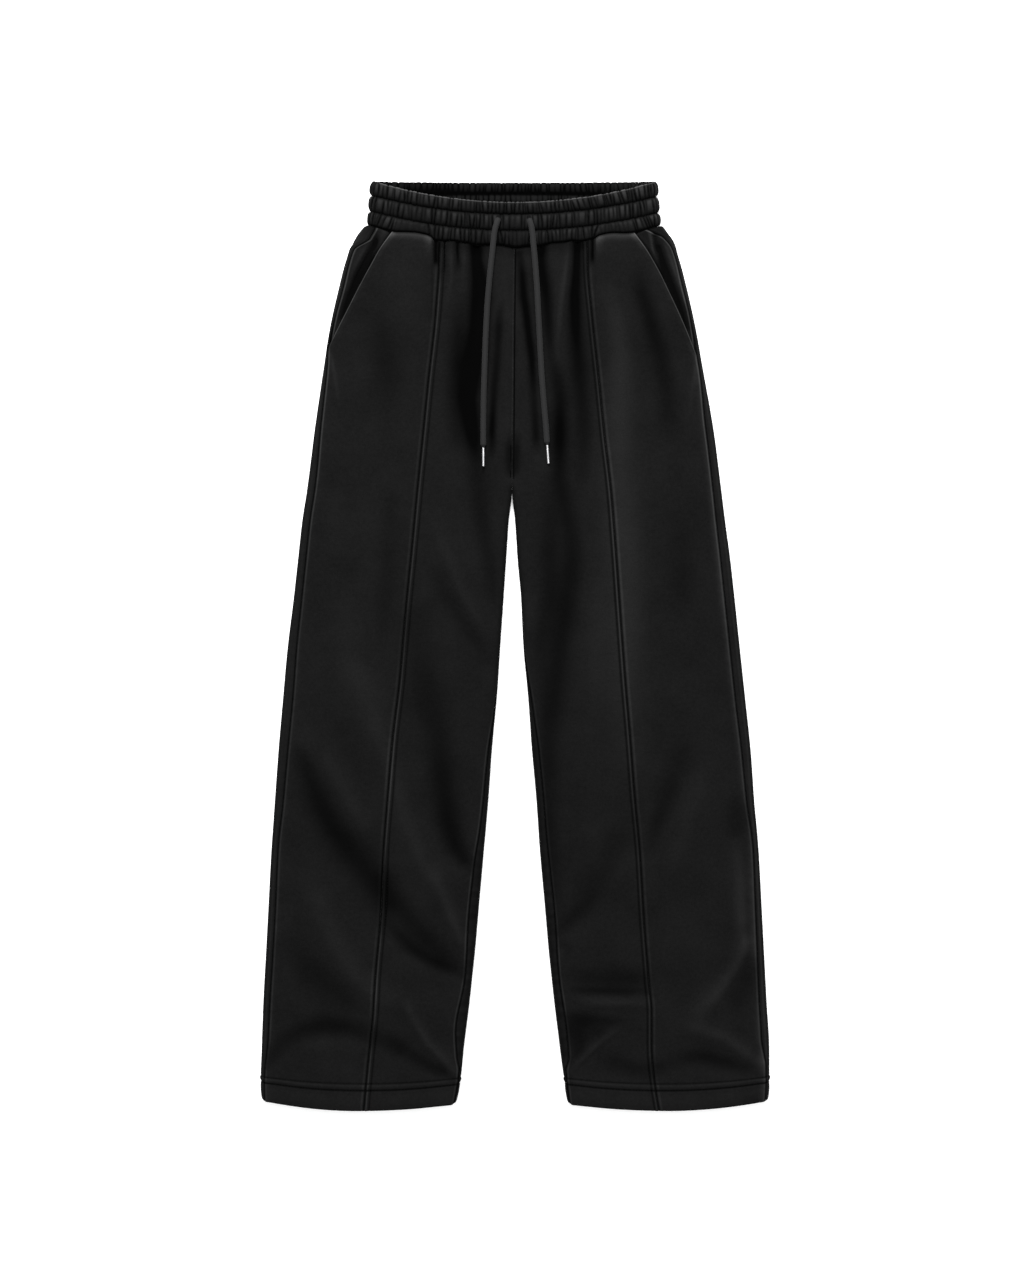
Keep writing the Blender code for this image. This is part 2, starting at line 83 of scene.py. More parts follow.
def placeCamera():
    data = bpy.data.cameras.new("camera")
    data.sensor_fit = "VERTICAL"
    data.sensor_height = cameraSetup["sensor"]
    data.lens = cameraSetup["sensor"] * cameraSetup["height"] / cameraSetup["shownLength"]
    data.clip_end = cameraSetup["clipEnd"]
    place = (*cameraSetup["middle"], cameraSetup["height"])
    bpy.context.scene.camera = addObject("camera", data, place)


def placeSoftbox(name):
    setup = lightSetup[name]
    data = bpy.data.lights.new(name, "AREA")
    data.shape = "SQUARE"
    data.size = setup["size"]
    data.energy = setup["power"]
    lamp = addObject(name, data, setup["place"])
    lamp.rotation_euler = (-Vector(setup["place"])).to_track_quat("-Z", "Y").to_euler()


def placeStage():
    bpy.ops.object.select_all(action="DESELECT")
    bpy.ops.mesh.primitive_plane_add(size=floorSetup["size"])
    floor = bpy.context.object
    floor.name = "floor"
    paint = bpy.data.materials.new("paleFloor")
    paint.use_nodes = True
    shader = paint.node_tree.nodes["Principled BSDF"]
    shader.inputs["Base Color"].default_value = floorSetup["colour"]
    shader.inputs["Roughness"].default_value = floorSetup["roughness"]
    shader.inputs["Specular IOR Level"].default_value = floorSetup["specular"]
    shader.inputs["Emission Color"].default_value = white
    shader.inputs["Emission Strength"].default_value = floorSetup["glow"]
    floor.data.materials.append(paint)
    world = bpy.data.worlds.new("studio")
    bpy.context.scene.world = world
    world.use_nodes = True
    sky = world.node_tree.nodes["Background"]
    sky.inputs["Color"].default_value = white
    sky.inputs["Strength"].default_value = lightSetup["sky"]
    placeSoftbox("softbox")
    placeSoftbox("fill")
    bpy.context.scene.view_settings.view_transform = "Standard"
    bpy.context.scene.view_settings.look = "None"


placeCamera()
placeStage()
print("camera, floor and light are placed")


# Finishes.
class Socket:
    # A value in a finish: operators on it add Math nodes.
    def __init__(self, finish, link):
        self.finish = finish
        self.link = link

    def join(self, operation, other):
        return self.finish.node("ShaderNodeMath", {"operation": operation}, {0: self, 1: other})

    def __add__(self, other):
        return self.join("ADD", other)

    def __sub__(self, other):
        return self.join("SUBTRACT", other)

    def __mul__(self, other):
        return self.join("MULTIPLY", other)

    def __pow__(self, other):
        return self.join("POWER", other)

    __radd__ = __add__
    __rmul__ = __mul__


class Finish:
    colourSlots = (0, 6, 7)  # where a colour mix takes its share and its two colours

    def __init__(self, name):
        self.material = bpy.data.materials.new(name)
        self.material.use_nodes = True
        self.tree = self.material.node_tree
        self.shader = self.tree.nodes["Principled BSDF"]

    def node(self, kind, settings=None, inputs=None, output=0):
        made = self.tree.nodes.new(kind)
        for key, value in (settings or {}).items():
            setattr(made, key, value)
        for key, value in (inputs or {}).items():
            if isinstance(value, Socket):
                self.tree.links.new(value.link, made.inputs[key])
            else:
                made.inputs[key].default_value = value
        return Socket(self, made.outputs[output])

    def place(self):
        return self.node("ShaderNodeTexCoord", None, None, 3)  # its own place in the object

    def attribute(self, name):
        return self.node("ShaderNodeAttribute", {"attribute_name": name}, None, 2)

    def colourMix(self, share, first, second):
        inputs = dict(zip(self.colourSlots, (share, first, second)))
        return self.node("ShaderNodeMix", {"data_type": "RGBA"}, inputs, 2)

    def between(self, value, low, high):
        inputs = {"Value": value, "From Min": low, "From Max": high}
        return self.node("ShaderNodeMapRange", None, inputs)

    def spots(self, place, scale, detail=2.0, roughness=0.5, stretch=None):
        if stretch:
            place = self.node("ShaderNodeMapping", None, {"Vector": place, "Scale": stretch})
        settings = {"noise_dimensions": "3D"}
        inputs = {"Vector": place, "Scale": scale, "Detail": detail, "Roughness": roughness}
        return self.node("ShaderNodeTexNoise", settings, inputs)

    def steady(self, values):
        for key, value in values.items():
            self.shader.inputs[key].default_value = value

    def feed(self, name, value):
        self.tree.links.new(value.link, self.shader.inputs[name])

    def bump(self, height, distance):
        inputs = {"Height": height, "Distance": distance, "Strength": 1.0}
        self.feed("Normal", self.node("ShaderNodeBump", None, inputs))

    def dress(self, look, tone, rough):
        self.feed("Base Color", self.colourMix(tone, look["dark"], look["light"]))
        base, more = look["roughness"]
        self.feed("Roughness", base + more * rough)
        self.bump(rough, look["bump"])
        self.steady(look["steady"])
        return self.material


fleeceLook = {
    "dark": (0.0025, 0.0025, 0.0025, 1.0),
    "light": (0.0073, 0.0073, 0.0073, 1.0),
    # painted shade for hollows and seams, and painted highlight for ridges, rims and edges
    "paintedShade": (0.0003, 0.0003, 0.0003, 1.0),
    "paintedHighlight": (0.048, 0.048, 0.048, 1.0),
    # scale, detail and roughness of each layer of the nap
    "grain": (950.0, 2.0, 0.6),
    "mottle": (260.0, 3.0, 0.6),
    "clouds": (26.0, 2.0, 0.5),
    "fibres": (380.0, 2.0, 0.6, (2.4, 0.7, 1.0)),
    "toneShares": (0.6, 0.65, 0.65, 0.4),
    "toneLevel": 0.645,
    "bumpShares": (0.6, 0.8, 0.5),
    "bump": 0.00040,
    "neutral": 0.5,  # of the painted shading: below it the colour goes towards the painted shade, above it towards the painted highlight
    "highlightPower": 1.6,
    "roughness": (0.86, 0.1),
    "steady": {
        "Sheen Weight": 0.035,
        "Sheen Roughness": 0.36,
        "Specular IOR Level": 0.015,
        "Sheen Tint": (0.9, 0.9, 0.9, 1.0),
    },
}


def makeFleece(name):
    look = fleeceLook
    finish = Finish(name)
    place = finish.place()
    cloth = finish.node("ShaderNodeUVMap", {"uv_map": "cloth"})
    grain = finish.spots(place, *look["grain"])
    mottle = finish.spots(place, *look["mottle"])
    clouds = finish.spots(place, *look["clouds"])
    fibres = finish.spots(cloth, *look["fibres"])
    a, b, c, d = look["toneShares"]
    tone = grain * a + mottle * b + clouds * c + fibres * d - look["toneLevel"]
    colour = finish.colourMix(tone, look["dark"], look["light"])
    # painted shading stored on the mesh: painted shade below the middle, painted highlight above it
    paintedShading = finish.attribute("paintedShading")
    paintedShade = finish.between(paintedShading, look["neutral"], 0.0)
    highlightShare = finish.between(paintedShading, look["neutral"], 1.0)
    colour = finish.colourMix(paintedShade, colour, look["paintedShade"])
    highlightShare = highlightShare ** look["highlightPower"] * (grain + 0.5)
    finish.feed("Base Color", finish.colourMix(highlightShare, colour, look["paintedHighlight"]))
    base, more = look["roughness"]
    finish.feed("Roughness", base + more * mottle)
    a, b, c = look["bumpShares"]
    finish.bump(grain * a + mottle * b + fibres * c, look["bump"])
    finish.steady(look["steady"])
    return finish.material


threadLook = {
    "dark": (0.0008, 0.0008, 0.0008, 1.0),
    "light": (0.0024, 0.0024, 0.0024, 1.0),
    "ply": 1800.0,
    "roughness": (0.5, 0.2),
    "bump": 0.0001,
    "steady": {"Sheen Weight": 0.02, "Specular IOR Level": 0.03},
}


def makeThread():
    finish = Finish("blackThread")
    ply = finish.spots(finish.place(), threadLook["ply"])
    return finish.dress(threadLook, ply, ply)


cordLook = {
    "dark": (0.0008, 0.0008, 0.0009, 1.0),
    "light": (0.0195, 0.0195, 0.0197, 1.0),
    "fuzz": (1500.0, 3.0, 0.6),
    "fuzzTone": (0.55, 0.9),
    "roughness": (0.7, 0.2),
    "bump": 0.00012,
    "steady": {"Sheen Weight": 0.04, "Sheen Roughness": 0.4, "Specular IOR Level": 0.05},
    "shade": (0.42, 0.5),  # painted shade between two strands, and painted highlight on a strand's crown
    "hidden": 3.0 * mm,  # painted shadow on the start of the cord, where it lies in its hole
    "litOver": 1.6 * mm,
}


def makeCordFinish():
    finish = Finish("charcoalBraid")
    fuzz = finish.spots(finish.place(), *cordLook["fuzz"])
    base, more = cordLook["fuzzTone"]
    tone = finish.attribute("paintedShading") * (base + more * fuzz)
    return finish.dress(cordLook, tone, fuzz)


steelLook = {
    "dark": (0.50, 0.50, 0.51, 1.0),
    "light": (0.68, 0.68, 0.69, 1.0),
    "scratches": (600.0, 3.0, 0.6, (3.0, 0.3, 3.0)),
    "stains": 90.0,
    "roughness": (0.24, 0.22),
    "bump": 0.00003,
    "steady": {"Metallic": 1.0},
}


def makeSteel():
    finish = Finish("dullSteel")
    place = finish.place()
    scratches = finish.spots(place, *steelLook["scratches"])
    return finish.dress(steelLook, finish.spots(place, steelLook["stains"]), scratches)


fleece = makeFleece("blackFleece")
bandFleece = makeFleece("blackBandFleece")
thread = makeThread()
braid = makeCordFinish()
steel = makeSteel()
print("finishes are mixed")


# Small helpers.
def ease(t):
    t = np.clip(t, 0.0, 1.0)
    return t * t * (3 - 2 * t)


def fade(distance, reach):
    return 1 - ease(distance / reach)


def hump(t):
    return (1 - np.clip(np.abs(t), 0.0, 1.0) ** 2) ** 2


def dent(t):
    return np.exp(-t * t)


def fading(distance, amount, reach):
    return amount * fade(distance, reach)


def ridge(distance, height, at, half):
    # A low ridge, or a light line, beside an edge.
    return height * hump((distance - at) / half)


def groove(distance, depth, half):
    return -depth * dent(distance / half)


def rolled(distance, drop, width):
    # A cut or folded edge that rounds over: full drop at the edge, none past the width.
    left = 1 - np.clip(distance / width, 0.0, 1.0)
    return -drop * (1 - np.sqrt(np.maximum(0.0, 1 - left * left)))


def readTable(table, heights, column):
    # A smooth curve through the table's rows, level where they turn.
    keys = np.array([row[0] for row in table], float) * mm
    values = np.array([row[column] for row in table], float) * mm
    steps = np.diff(values) / np.diff(keys)
    slopes = np.concatenate((steps[:1], np.zeros(len(steps) - 1), steps[-1:]))
    product = steps[:-1] * steps[1:]
    total = np.where(product > 0, steps[:-1] + steps[1:], 1.0)
    slopes[1:-1] = np.where(product > 0, 2 * product / total, 0.0)
    h = np.clip(heights, keys[0], keys[-1])
    i = np.clip(np.searchsorted(keys, h, side="right") - 1, 0, len(steps) - 1)
    span = keys[i + 1] - keys[i]
    t = (h - keys[i]) / span
    return (
        (2 * t**3 - 3 * t**2 + 1) * values[i]
        + (t**3 - 2 * t**2 + t) * span * slopes[i]
        + (3 * t**2 - 2 * t**3) * values[i + 1]
        + (t**3 - t**2) * span * slopes[i + 1]
    )


def softWaves(x, y, seed, wavelength, count=7):
    # An even, aimless swell between about -1 and 1.
    dice = np.random.default_rng(seed)
    total = 0.0
    for _ in range(count):
        turn = dice.uniform(0, math.pi)
        size = wavelength * dice.uniform(0.7, 1.5)
        phase = dice.uniform(0, 2 * math.pi)
        way = x * math.cos(turn) + y * math.sin(turn)
        total = total + np.sin(2 * math.pi * way / size + phase)
    return total / math.sqrt(count) / 1.4


def creaseLift(x, height, creases):
    # Each crease is a line of (x, height, lift, half width) points; a trough's lift is negative.
    total = np.zeros(np.broadcast(x, height).shape)
    farAway = 9.0
    for line in creases:
        nearest = np.full(total.shape, farAway)
        lift = np.zeros(total.shape)
        width = np.ones(total.shape)
        for a, b in zip(line, line[1:]):
            dx, dh = (b[0] - a[0]) * mm, (b[1] - a[1]) * mm
            px, ph = x - a[0] * mm, height - a[1] * mm
            t = np.clip((px * dx + ph * dh) / (dx * dx + dh * dh), 0.0, 1.0)
            away = np.hypot(px - t * dx, ph - t * dh)
            closer = away < nearest
            nearest = np.where(closer, away, nearest)
            lift = np.where(closer, a[2] + (b[2] - a[2]) * t, lift)
            width = np.where(closer, a[3] + (b[3] - a[3]) * t, width)
        total += lift * mm * np.exp(-((nearest / (width * mm)) ** 2))
    return total


def unit(ways):
    return ways / np.linalg.norm(ways, axis=-1, keepdims=True)


def ringOf(turn, across, over):
    # Ways outwards round a line, one ring for each of its points.
    turn = turn[None, :, None]
    return np.cos(turn) * across[:, None] + np.sin(turn) * over[:, None]


def readLine(at, known, values):
    return np.stack([np.interp(at, known, column) for column in values.T], 1)


def lengthsOf(line):
    return np.concatenate(([0.0], np.cumsum(np.linalg.norm(np.diff(line, axis=0), axis=1))))


def resample(line, step):
    lengths = lengthsOf(line)
    wanted = np.linspace(0, lengths[-1], max(2, round(lengths[-1] / step)) + 1)
    return readLine(wanted, lengths, line)


def smoothLine(points, step):
    ends = np.vstack((2 * points[0] - points[1], points, 2 * points[-1] - points[-2]))
    t = np.linspace(0, 1, 17)[:-1, None]
    fine = []
    for a, b, c, d in zip(ends, ends[1:], ends[2:], ends[3:]):
        fine.append(
            0.5 * (2 * b + (c - a) * t + (2 * a - 5 * b + 4 * c - d) * t**2
                   + (3 * b - a - 3 * c + d) * t**3)
        )
    return resample(np.vstack(fine + [points[-1:]]), step)


def signedVolume(made):
    mesh = made.data
    mesh.calc_loop_triangles()
    index = np.zeros(len(mesh.loop_triangles) * 3, np.int32)
    mesh.loop_triangles.foreach_get("vertices", index)
    places = np.zeros(len(mesh.vertices) * 3, np.float32)
    mesh.vertices.foreach_get("co", places)
    a, b, c = places.reshape(-1, 3)[index.reshape(-1, 3)].transpose(1, 0, 2)
    return float(np.einsum("ij,ij->i", a, np.cross(b, c)).sum() / 6)


def writeMesh(name, points, groups, material, uv=None, paintedShading=None, sharp=50):
    # The faces come in groups, each an array with one row of corners for each face.
    groups = [np.asarray(group) for group in groups]
    loops = np.concatenate([group.ravel() for group in groups])
    sizes = np.concatenate([np.full(len(group), group.shape[1]) for group in groups])
    starts = np.concatenate(([0], np.cumsum(sizes)[:-1]))
    mesh = bpy.data.meshes.new(name)
    mesh.vertices.add(len(points))
    mesh.vertices.foreach_set("co", np.ascontiguousarray(points, np.float32).ravel())
    mesh.loops.add(len(loops))
    mesh.loops.foreach_set("vertex_index", loops.astype(np.int32))
    mesh.polygons.add(len(starts))
    mesh.polygons.foreach_set("loop_start", starts.astype(np.int32))
    if uv is not None:
        layer = mesh.uv_layers.new(name="cloth")
        layer.data.foreach_set("uv", uv[loops].astype(np.float32).ravel())
    # painted light and shade for the colour, one value for each point
    if paintedShading is not None:
        attribute = mesh.attributes.new("paintedShading", "FLOAT", "POINT")
        attribute.data.foreach_set("value", paintedShading.astype(np.float32).ravel())
    mesh.update(calc_edges=True)
    mesh.validate()
    mesh.shade_smooth()
    mesh.set_sharp_from_angle(angle=math.radians(sharp))
    mesh.materials.append(material)
    made = addObject(name, mesh, (0, 0, 0))
    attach(made, "root")
    return made


def faceOutwards(made):
    if signedVolume(made) < 0:
        made.data.flip_normals()


# Drawcord.
cordSetup = {
    "diameter": 6.4 * mm,
    "around": 30,
    "step": 0.65 * mm,
    "relief": 0.22 * mm,
    "taper": 3.5 * mm,
    "endShare": 0.52,
    "strands": 10,
    "pitch": 2.6 * mm,
    "crossing": (0.6, 0.4),  # where one strand passes under another
    "clothScale": 50,
    "sharp": 70,
    "bed": {"below": 0.02, "beside": 0.06, "gap": 0.2 * mm, "half": 4.6 * mm, "fade": 24 * mm},
    "right": (
        (-18.2, 1006.2, 17.0), (-19.0, 1003.5, 19.0), (-20.2, 999.5, 21.2), (-21.8, 994.0, 22.3),
        (-23.4, 986.0, 22.5), (-24.4, 977.0, 22.7), (-25.6, 965.0, 22.7), (-27.2, 950.0, 22.7),
        (-29.2, 930.0, 22.4), (-31.3, 903.0, 21.7), (-33.0, 870.0, 21.0), (-34.2, 835.0, 20.2),
        (-35.2, 803.0, 19.4), (-35.6, 770.0, 18.7), (-35.6, 747.0, 18.2),
    ),
    "left": (
        (15.4, 1005.6, 17.0), (16.1, 1002.9, 19.0), (17.2, 998.9, 21.2), (18.5, 993.4, 22.3),
        (19.8, 985.0, 22.5), (20.6, 975.0, 22.7), (21.8, 963.0, 22.4), (23.2, 947.0, 22.1),
        (24.8, 925.0, 21.7), (26.1, 900.0, 21.3), (28.2, 860.0, 20.4), (30.2, 825.0, 19.6),
        (32.6, 795.0, 18.8), (34.8, 770.0, 18.1), (36.2, 750.0, 17.7),
    ),
}
tipSetup = {
    "diameter": 2.8 * mm,
    "length": 21 * mm,
    "lift": 0.2 * mm,
    "gap": 0.3 * mm,
    "sides": 28,
    "bevel": 0.45 * mm,
    "bevelSteps": 4,
    "crimpAt": -6.9 * mm,  # from the tube's middle, towards the cord
    "crimpHalf": 0.6 * mm,
    "crimp": 0.86,
    "sharp": 40,
}


def cordPoints(side):
    places = np.array(cordSetup[side], float) * mm
    places[:, 1] -= fullLength / 2
    return places


def braidCrown(turn, along):
    # Two sets of strands that wind round the cord and pass over each other in turn.
    setup = cordSetup
    strand = setup["strands"] * turn[None] / (2 * math.pi)
    wound = along[:, None] / setup["pitch"]
    a, b = strand + wound, strand - wound
    crownA, crownB = np.sin(math.pi * (a % 1)), np.sin(math.pi * (b % 1))
    onTop = (np.floor(a) + np.floor(b)) % 2 == 0
    low, more = setup["crossing"]
    return np.where(onTop, crownA * (low + more * crownB), crownB * (low + more * crownA))


def makeCord(side):
    setup = cordSetup
    line = smoothLine(cordPoints(side), setup["step"])
    ways = unit(np.gradient(line, axis=0))
    across = unit(np.cross(ways, (0, 0, 1.0)))
    over = np.cross(across, ways)
    along = np.arange(len(line)) * setup["step"]
    turn = np.linspace(0, 2 * math.pi, setup["around"], endpoint=False)
    crown = braidCrown(turn, along)
    taper = 1 - (1 - setup["endShare"]) * fade(along[-1] - along, setup["taper"])
    radius = (setup["diameter"] / 2 - setup["relief"] * (1 - crown)) * taper[:, None]
    points = line[:, None] + ringOf(turn, across, over) * radius[..., None]
    rows, columns = points.shape[:2]
    grid = np.arange(rows * columns).reshape(rows, columns)
    following = np.roll(grid, -1, axis=1)
    quads = np.stack((grid[:-1], grid[1:], following[1:], following[:-1]), -1).reshape(-1, 4)
    faces = [quads, grid[:1], grid[-1:, ::-1]]
    lengthwise = np.repeat(along * setup["clothScale"], columns)
    uv = np.stack((np.tile(turn / (2 * math.pi), rows), lengthwise), 1)
    # painted shadow where the cord starts in its hole, painted shade between the strands and
    # painted highlight on their crowns
    lit = ease((along - cordLook["hidden"]) / cordLook["litOver"])[:, None]
    low, more = cordLook["shade"]
    shade = (low + more * crown) * lit
    made = writeMesh("drawcord." + side, points.reshape(-1, 3), faces, braid, uv,
                     shade.ravel(), setup["sharp"])
    faceOutwards(made)
    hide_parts("drawcord_" + side)
    return made, line


def makeTip(side):
    # A thin crimped tube on the end of the cord, rounded at both of its ends.
    setup = tipSetup
    route = cordPoints(side)[-2:]
    way = Vector(route[1] - route[0]).normalized()
    start = Vector(route[1]) + way * setup["gap"]
    level = Vector((way.x, way.y, 0)).normalized()
    far = start + level * setup["length"] + Vector((0, 0, setup["lift"]))
    bpy.ops.object.select_all(action="DESELECT")
    bpy.ops.mesh.primitive_cylinder_add(
        vertices=setup["sides"], radius=setup["diameter"] / 2, depth=setup["length"],
        location=(0, 0, 0),
    )
    tip = bpy.context.object
    tip.name = "cordTip." + side
    bpy.ops.object.mode_set(mode="EDIT")
    bpy.ops.mesh.select_mode(type="FACE")
    bpy.ops.mesh.select_all(action="DESELECT")
    bpy.ops.object.mode_set(mode="OBJECT")
    for face in tip.data.polygons:  # the two ends
        face.select = abs(face.normal.z) > 0.9
    bpy.ops.object.mode_set(mode="EDIT")
    bpy.ops.mesh.bevel(offset=setup["bevel"], segments=setup["bevelSteps"], affect="EDGES")
    bpy.ops.object.mode_set(mode="OBJECT")
    bpy.ops.object.mode_set(mode="EDIT")
    for step in (-1, 0, 1):
        height = setup["crimpAt"] + step * setup["crimpHalf"]
        bpy.ops.mesh.select_all(action="SELECT")
        bpy.ops.mesh.bisect(plane_co=(0, 0, height), plane_no=(0, 0, 1))
    bpy.ops.object.mode_set(mode="OBJECT")
    for corner in tip.data.vertices:
        if abs(corner.co.z - setup["crimpAt"]) < 0.1 * mm:
            corner.co.x *= setup["crimp"]
            corner.co.y *= setup["crimp"]
    tip.rotation_mode = "QUATERNION"
    tip.rotation_quaternion = Vector((0, 0, 1)).rotation_difference(far - start)
    tip.location = (start + far) / 2
    bpy.ops.object.transform_apply(location=True, rotation=True, scale=True)
    bpy.ops.object.shade_smooth_by_angle(angle=math.radians(setup["sharp"]))
    tip.data.materials.append(steel)
    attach(tip, "root")
    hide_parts("cord_tip_" + side)
    return tip


cordLines = {}
for side in ("right", "left"):
    tip = makeTip(side)
    cord, cordLines[side] = makeCord(side)
    path = cordLines[side][::6]
    if not np.allclose(path[-1], cordLines[side][-1]):
        path = np.vstack((path, cordLines[side][-1:]))
print("drawcords are laid")


# Legs: the tables of the cut, in millimetres.
legCut = {
    # height, outer and inner edge of the right leg, inner and outer edge of the left leg
    "outline": (
        (0, -286, -66, 59, 286), (33, -287, -61, 55, 287), (67, -286, -58, 51, 287),
        (124, -284, -51, 44, 284), (180, -281, -45, 38, 281), (237, -278, -40, 33, 278),
        (293, -275, -35, 28, 275), (350, -271, -30, 24, 270), (406, -267, -26, 19, 266),
        (463, -262, -21, 15, 260), (519, -257, -17, 10, 254), (576, -250, -13, 7, 248),
        (621, -245, -10, 3, 243), (666, -240, -7, 0, 237), (698, -235, -3.45, -3.35, 233),
        (768, -226, -3.45, -3.35, 224), (836, -216, -3.45, -3.35, 212),
        (881, -209, -3.45, -3.35, 204),
        (926, -199, -3.45, -3.35, 194), (960, -190, -3.45, -3.35, 185),
        (983, -180, -3.45, -3.35, 176),
        (998, -169, -3.45, -3.35, 166),
    ),
    # height, radius of the side folds, height of the middle
    "fullness": (
        (0, 6.4, 15.2), (60, 6.2, 15.0), (240, 6.2, 15.0), (460, 6.4, 15.8), (698, 7.0, 17.5),
        (860, 8.0, 20.0), (960, 9.2, 21.0), (998, 9.5, 19.3),
    ),
    # height, how far the back panel comes round to the front: right leg, left leg
    "sideStrip": (
        (0, 4, 4), (47, 5, 4), (83, 7.5, 9), (221, 8.5, 7.5), (297, 8, 6.5), (350, 10, 9),
        (463, 11.5, 11.5), (592, 9.5, 11.5), (711, 9, 9.5), (768, 7, 9), (838, 4.2, 4.5),
        (850, 3, 4.5),
        (860, 2.2, 4.3), (868, 2.4, 4), (890, 3.6, 4), (930, 5.5, 5), (966, 5, 4.2),
        (971, 5.6, 4.4), (975, 11.5, 5.4), (981, 17, 8),
        (990, 15.5, 14), (998, 12.5, 18.5),
    ),
    "innerStrip": (
        (0, 3, 3), (42, 3, 3.5), (62, 7, 9), (100, 12, 10), (150, 8.2, 8.6), (220, 10.6, 10.4),
        (276, 9.5, 9.5), (321, 6.5, 8.5), (400, 4.3, 8), (446, 1.6, 5), (510, 0.0, 1.2),
        (580, 0.0, 0.0), (700, 0.0, 0.0),
    ),
    # height, x on the right leg, x on the left leg
    "frontSeam": (
        (0, -170, 162), (24, -168, 158), (75, -163, 153.5), (108, -159.5, 153.5),
        (150, -157, 150), (221, -151, 144.5), (289, -148, 140.5), (359, -142.5, 134),
        (423, -137, 129), (481, -130, 124), (561, -123, 118), (631, -116, 113),
        (694, -110, 108), (763, -103, 100), (823, -97, 94), (892, -89.3, 86.5), (920, -87.4, 84),
        (946, -86, 82.2), (972, -84.9, 81.2), (998, -84, 81),
    ),
    "mouth": (
        (851, -215, 204.8), (860, -210.3, 201.2), (868, -206.4, 198), (880, -200.4, 193),
        (900, -190, 184), (925, -177, 172),
        (950, -163.5, 160), (975, -151.5, 147.5), (998, -138, 134),
    ),
    # x along the waist, how far the fronts puff up over the band's lower edge
    "overhang": (
        (-165, 0), (-150, 0), (-137, 0.4), (-128, 2.2), (-121, 3.7), (-107, 5.4), (-100, 5.1),
        (-94, 3.5), (-90.5, 0.4), (-80, 1.1), (-67, 2.9), (-60, 2.2), (-53, 2.1), (-47, 1.2),
        (-40, 1.0), (-30, 1.6), (-19, 2.2), (-12, 1.3), (1, -0.9), (15, 0.6), (28, 0.7),
        (35, 2.0), (42, 3.2), (55, 3.1), (62, 3.6), (69, 2.6), (76, 1.6), (82, 1.9), (89, 3.0),
        (96, 5.2), (104, 5.6), (110, 5.0), (123, 2.0), (137, 0), (165, 0),
    ),
}
mouthEnd = {"right": 860 * mm, "left": 851 * mm}  # height of the pocket's lower end
legSetup = {
    "cloth": 2.4 * mm,
    "hemWall": 4.3 * mm,
    "hemDepth": 22 * mm,
    "dipHalf": 165 * mm,
    "dipTop": 23.8 * mm,
    "dipBottom": 24.0 * mm,
    "sag": 1.9 * mm,
    "dipReach": 110 * mm,
    "overhangReach": 55 * mm,
    "puffSpread": 45 * mm,
    "foldFade": 16 * mm,
    "hemRise": (11.0 * mm, 7.0 * mm),  # at the outer and the inner end
    "hemCurve": 1.8,
    "hemCorner": 3.0 * mm,
    "hemCornerWidth": 6 * mm,
    "hemReach": 60 * mm,
    "centreTop": -0.7 * mm,
    "centreCrotch": -3.4 * mm,
    "hemStep": 3 * mm,
    "swell": 0.5 * mm,
    "swellWave": 90 * mm,
    "seatShift": 1.5 * mm,
    "seatWidth": 9 * mm,
    "seatReach": 24 * mm,
    "foldShadow": (0.44, 5.0 * mm),
}

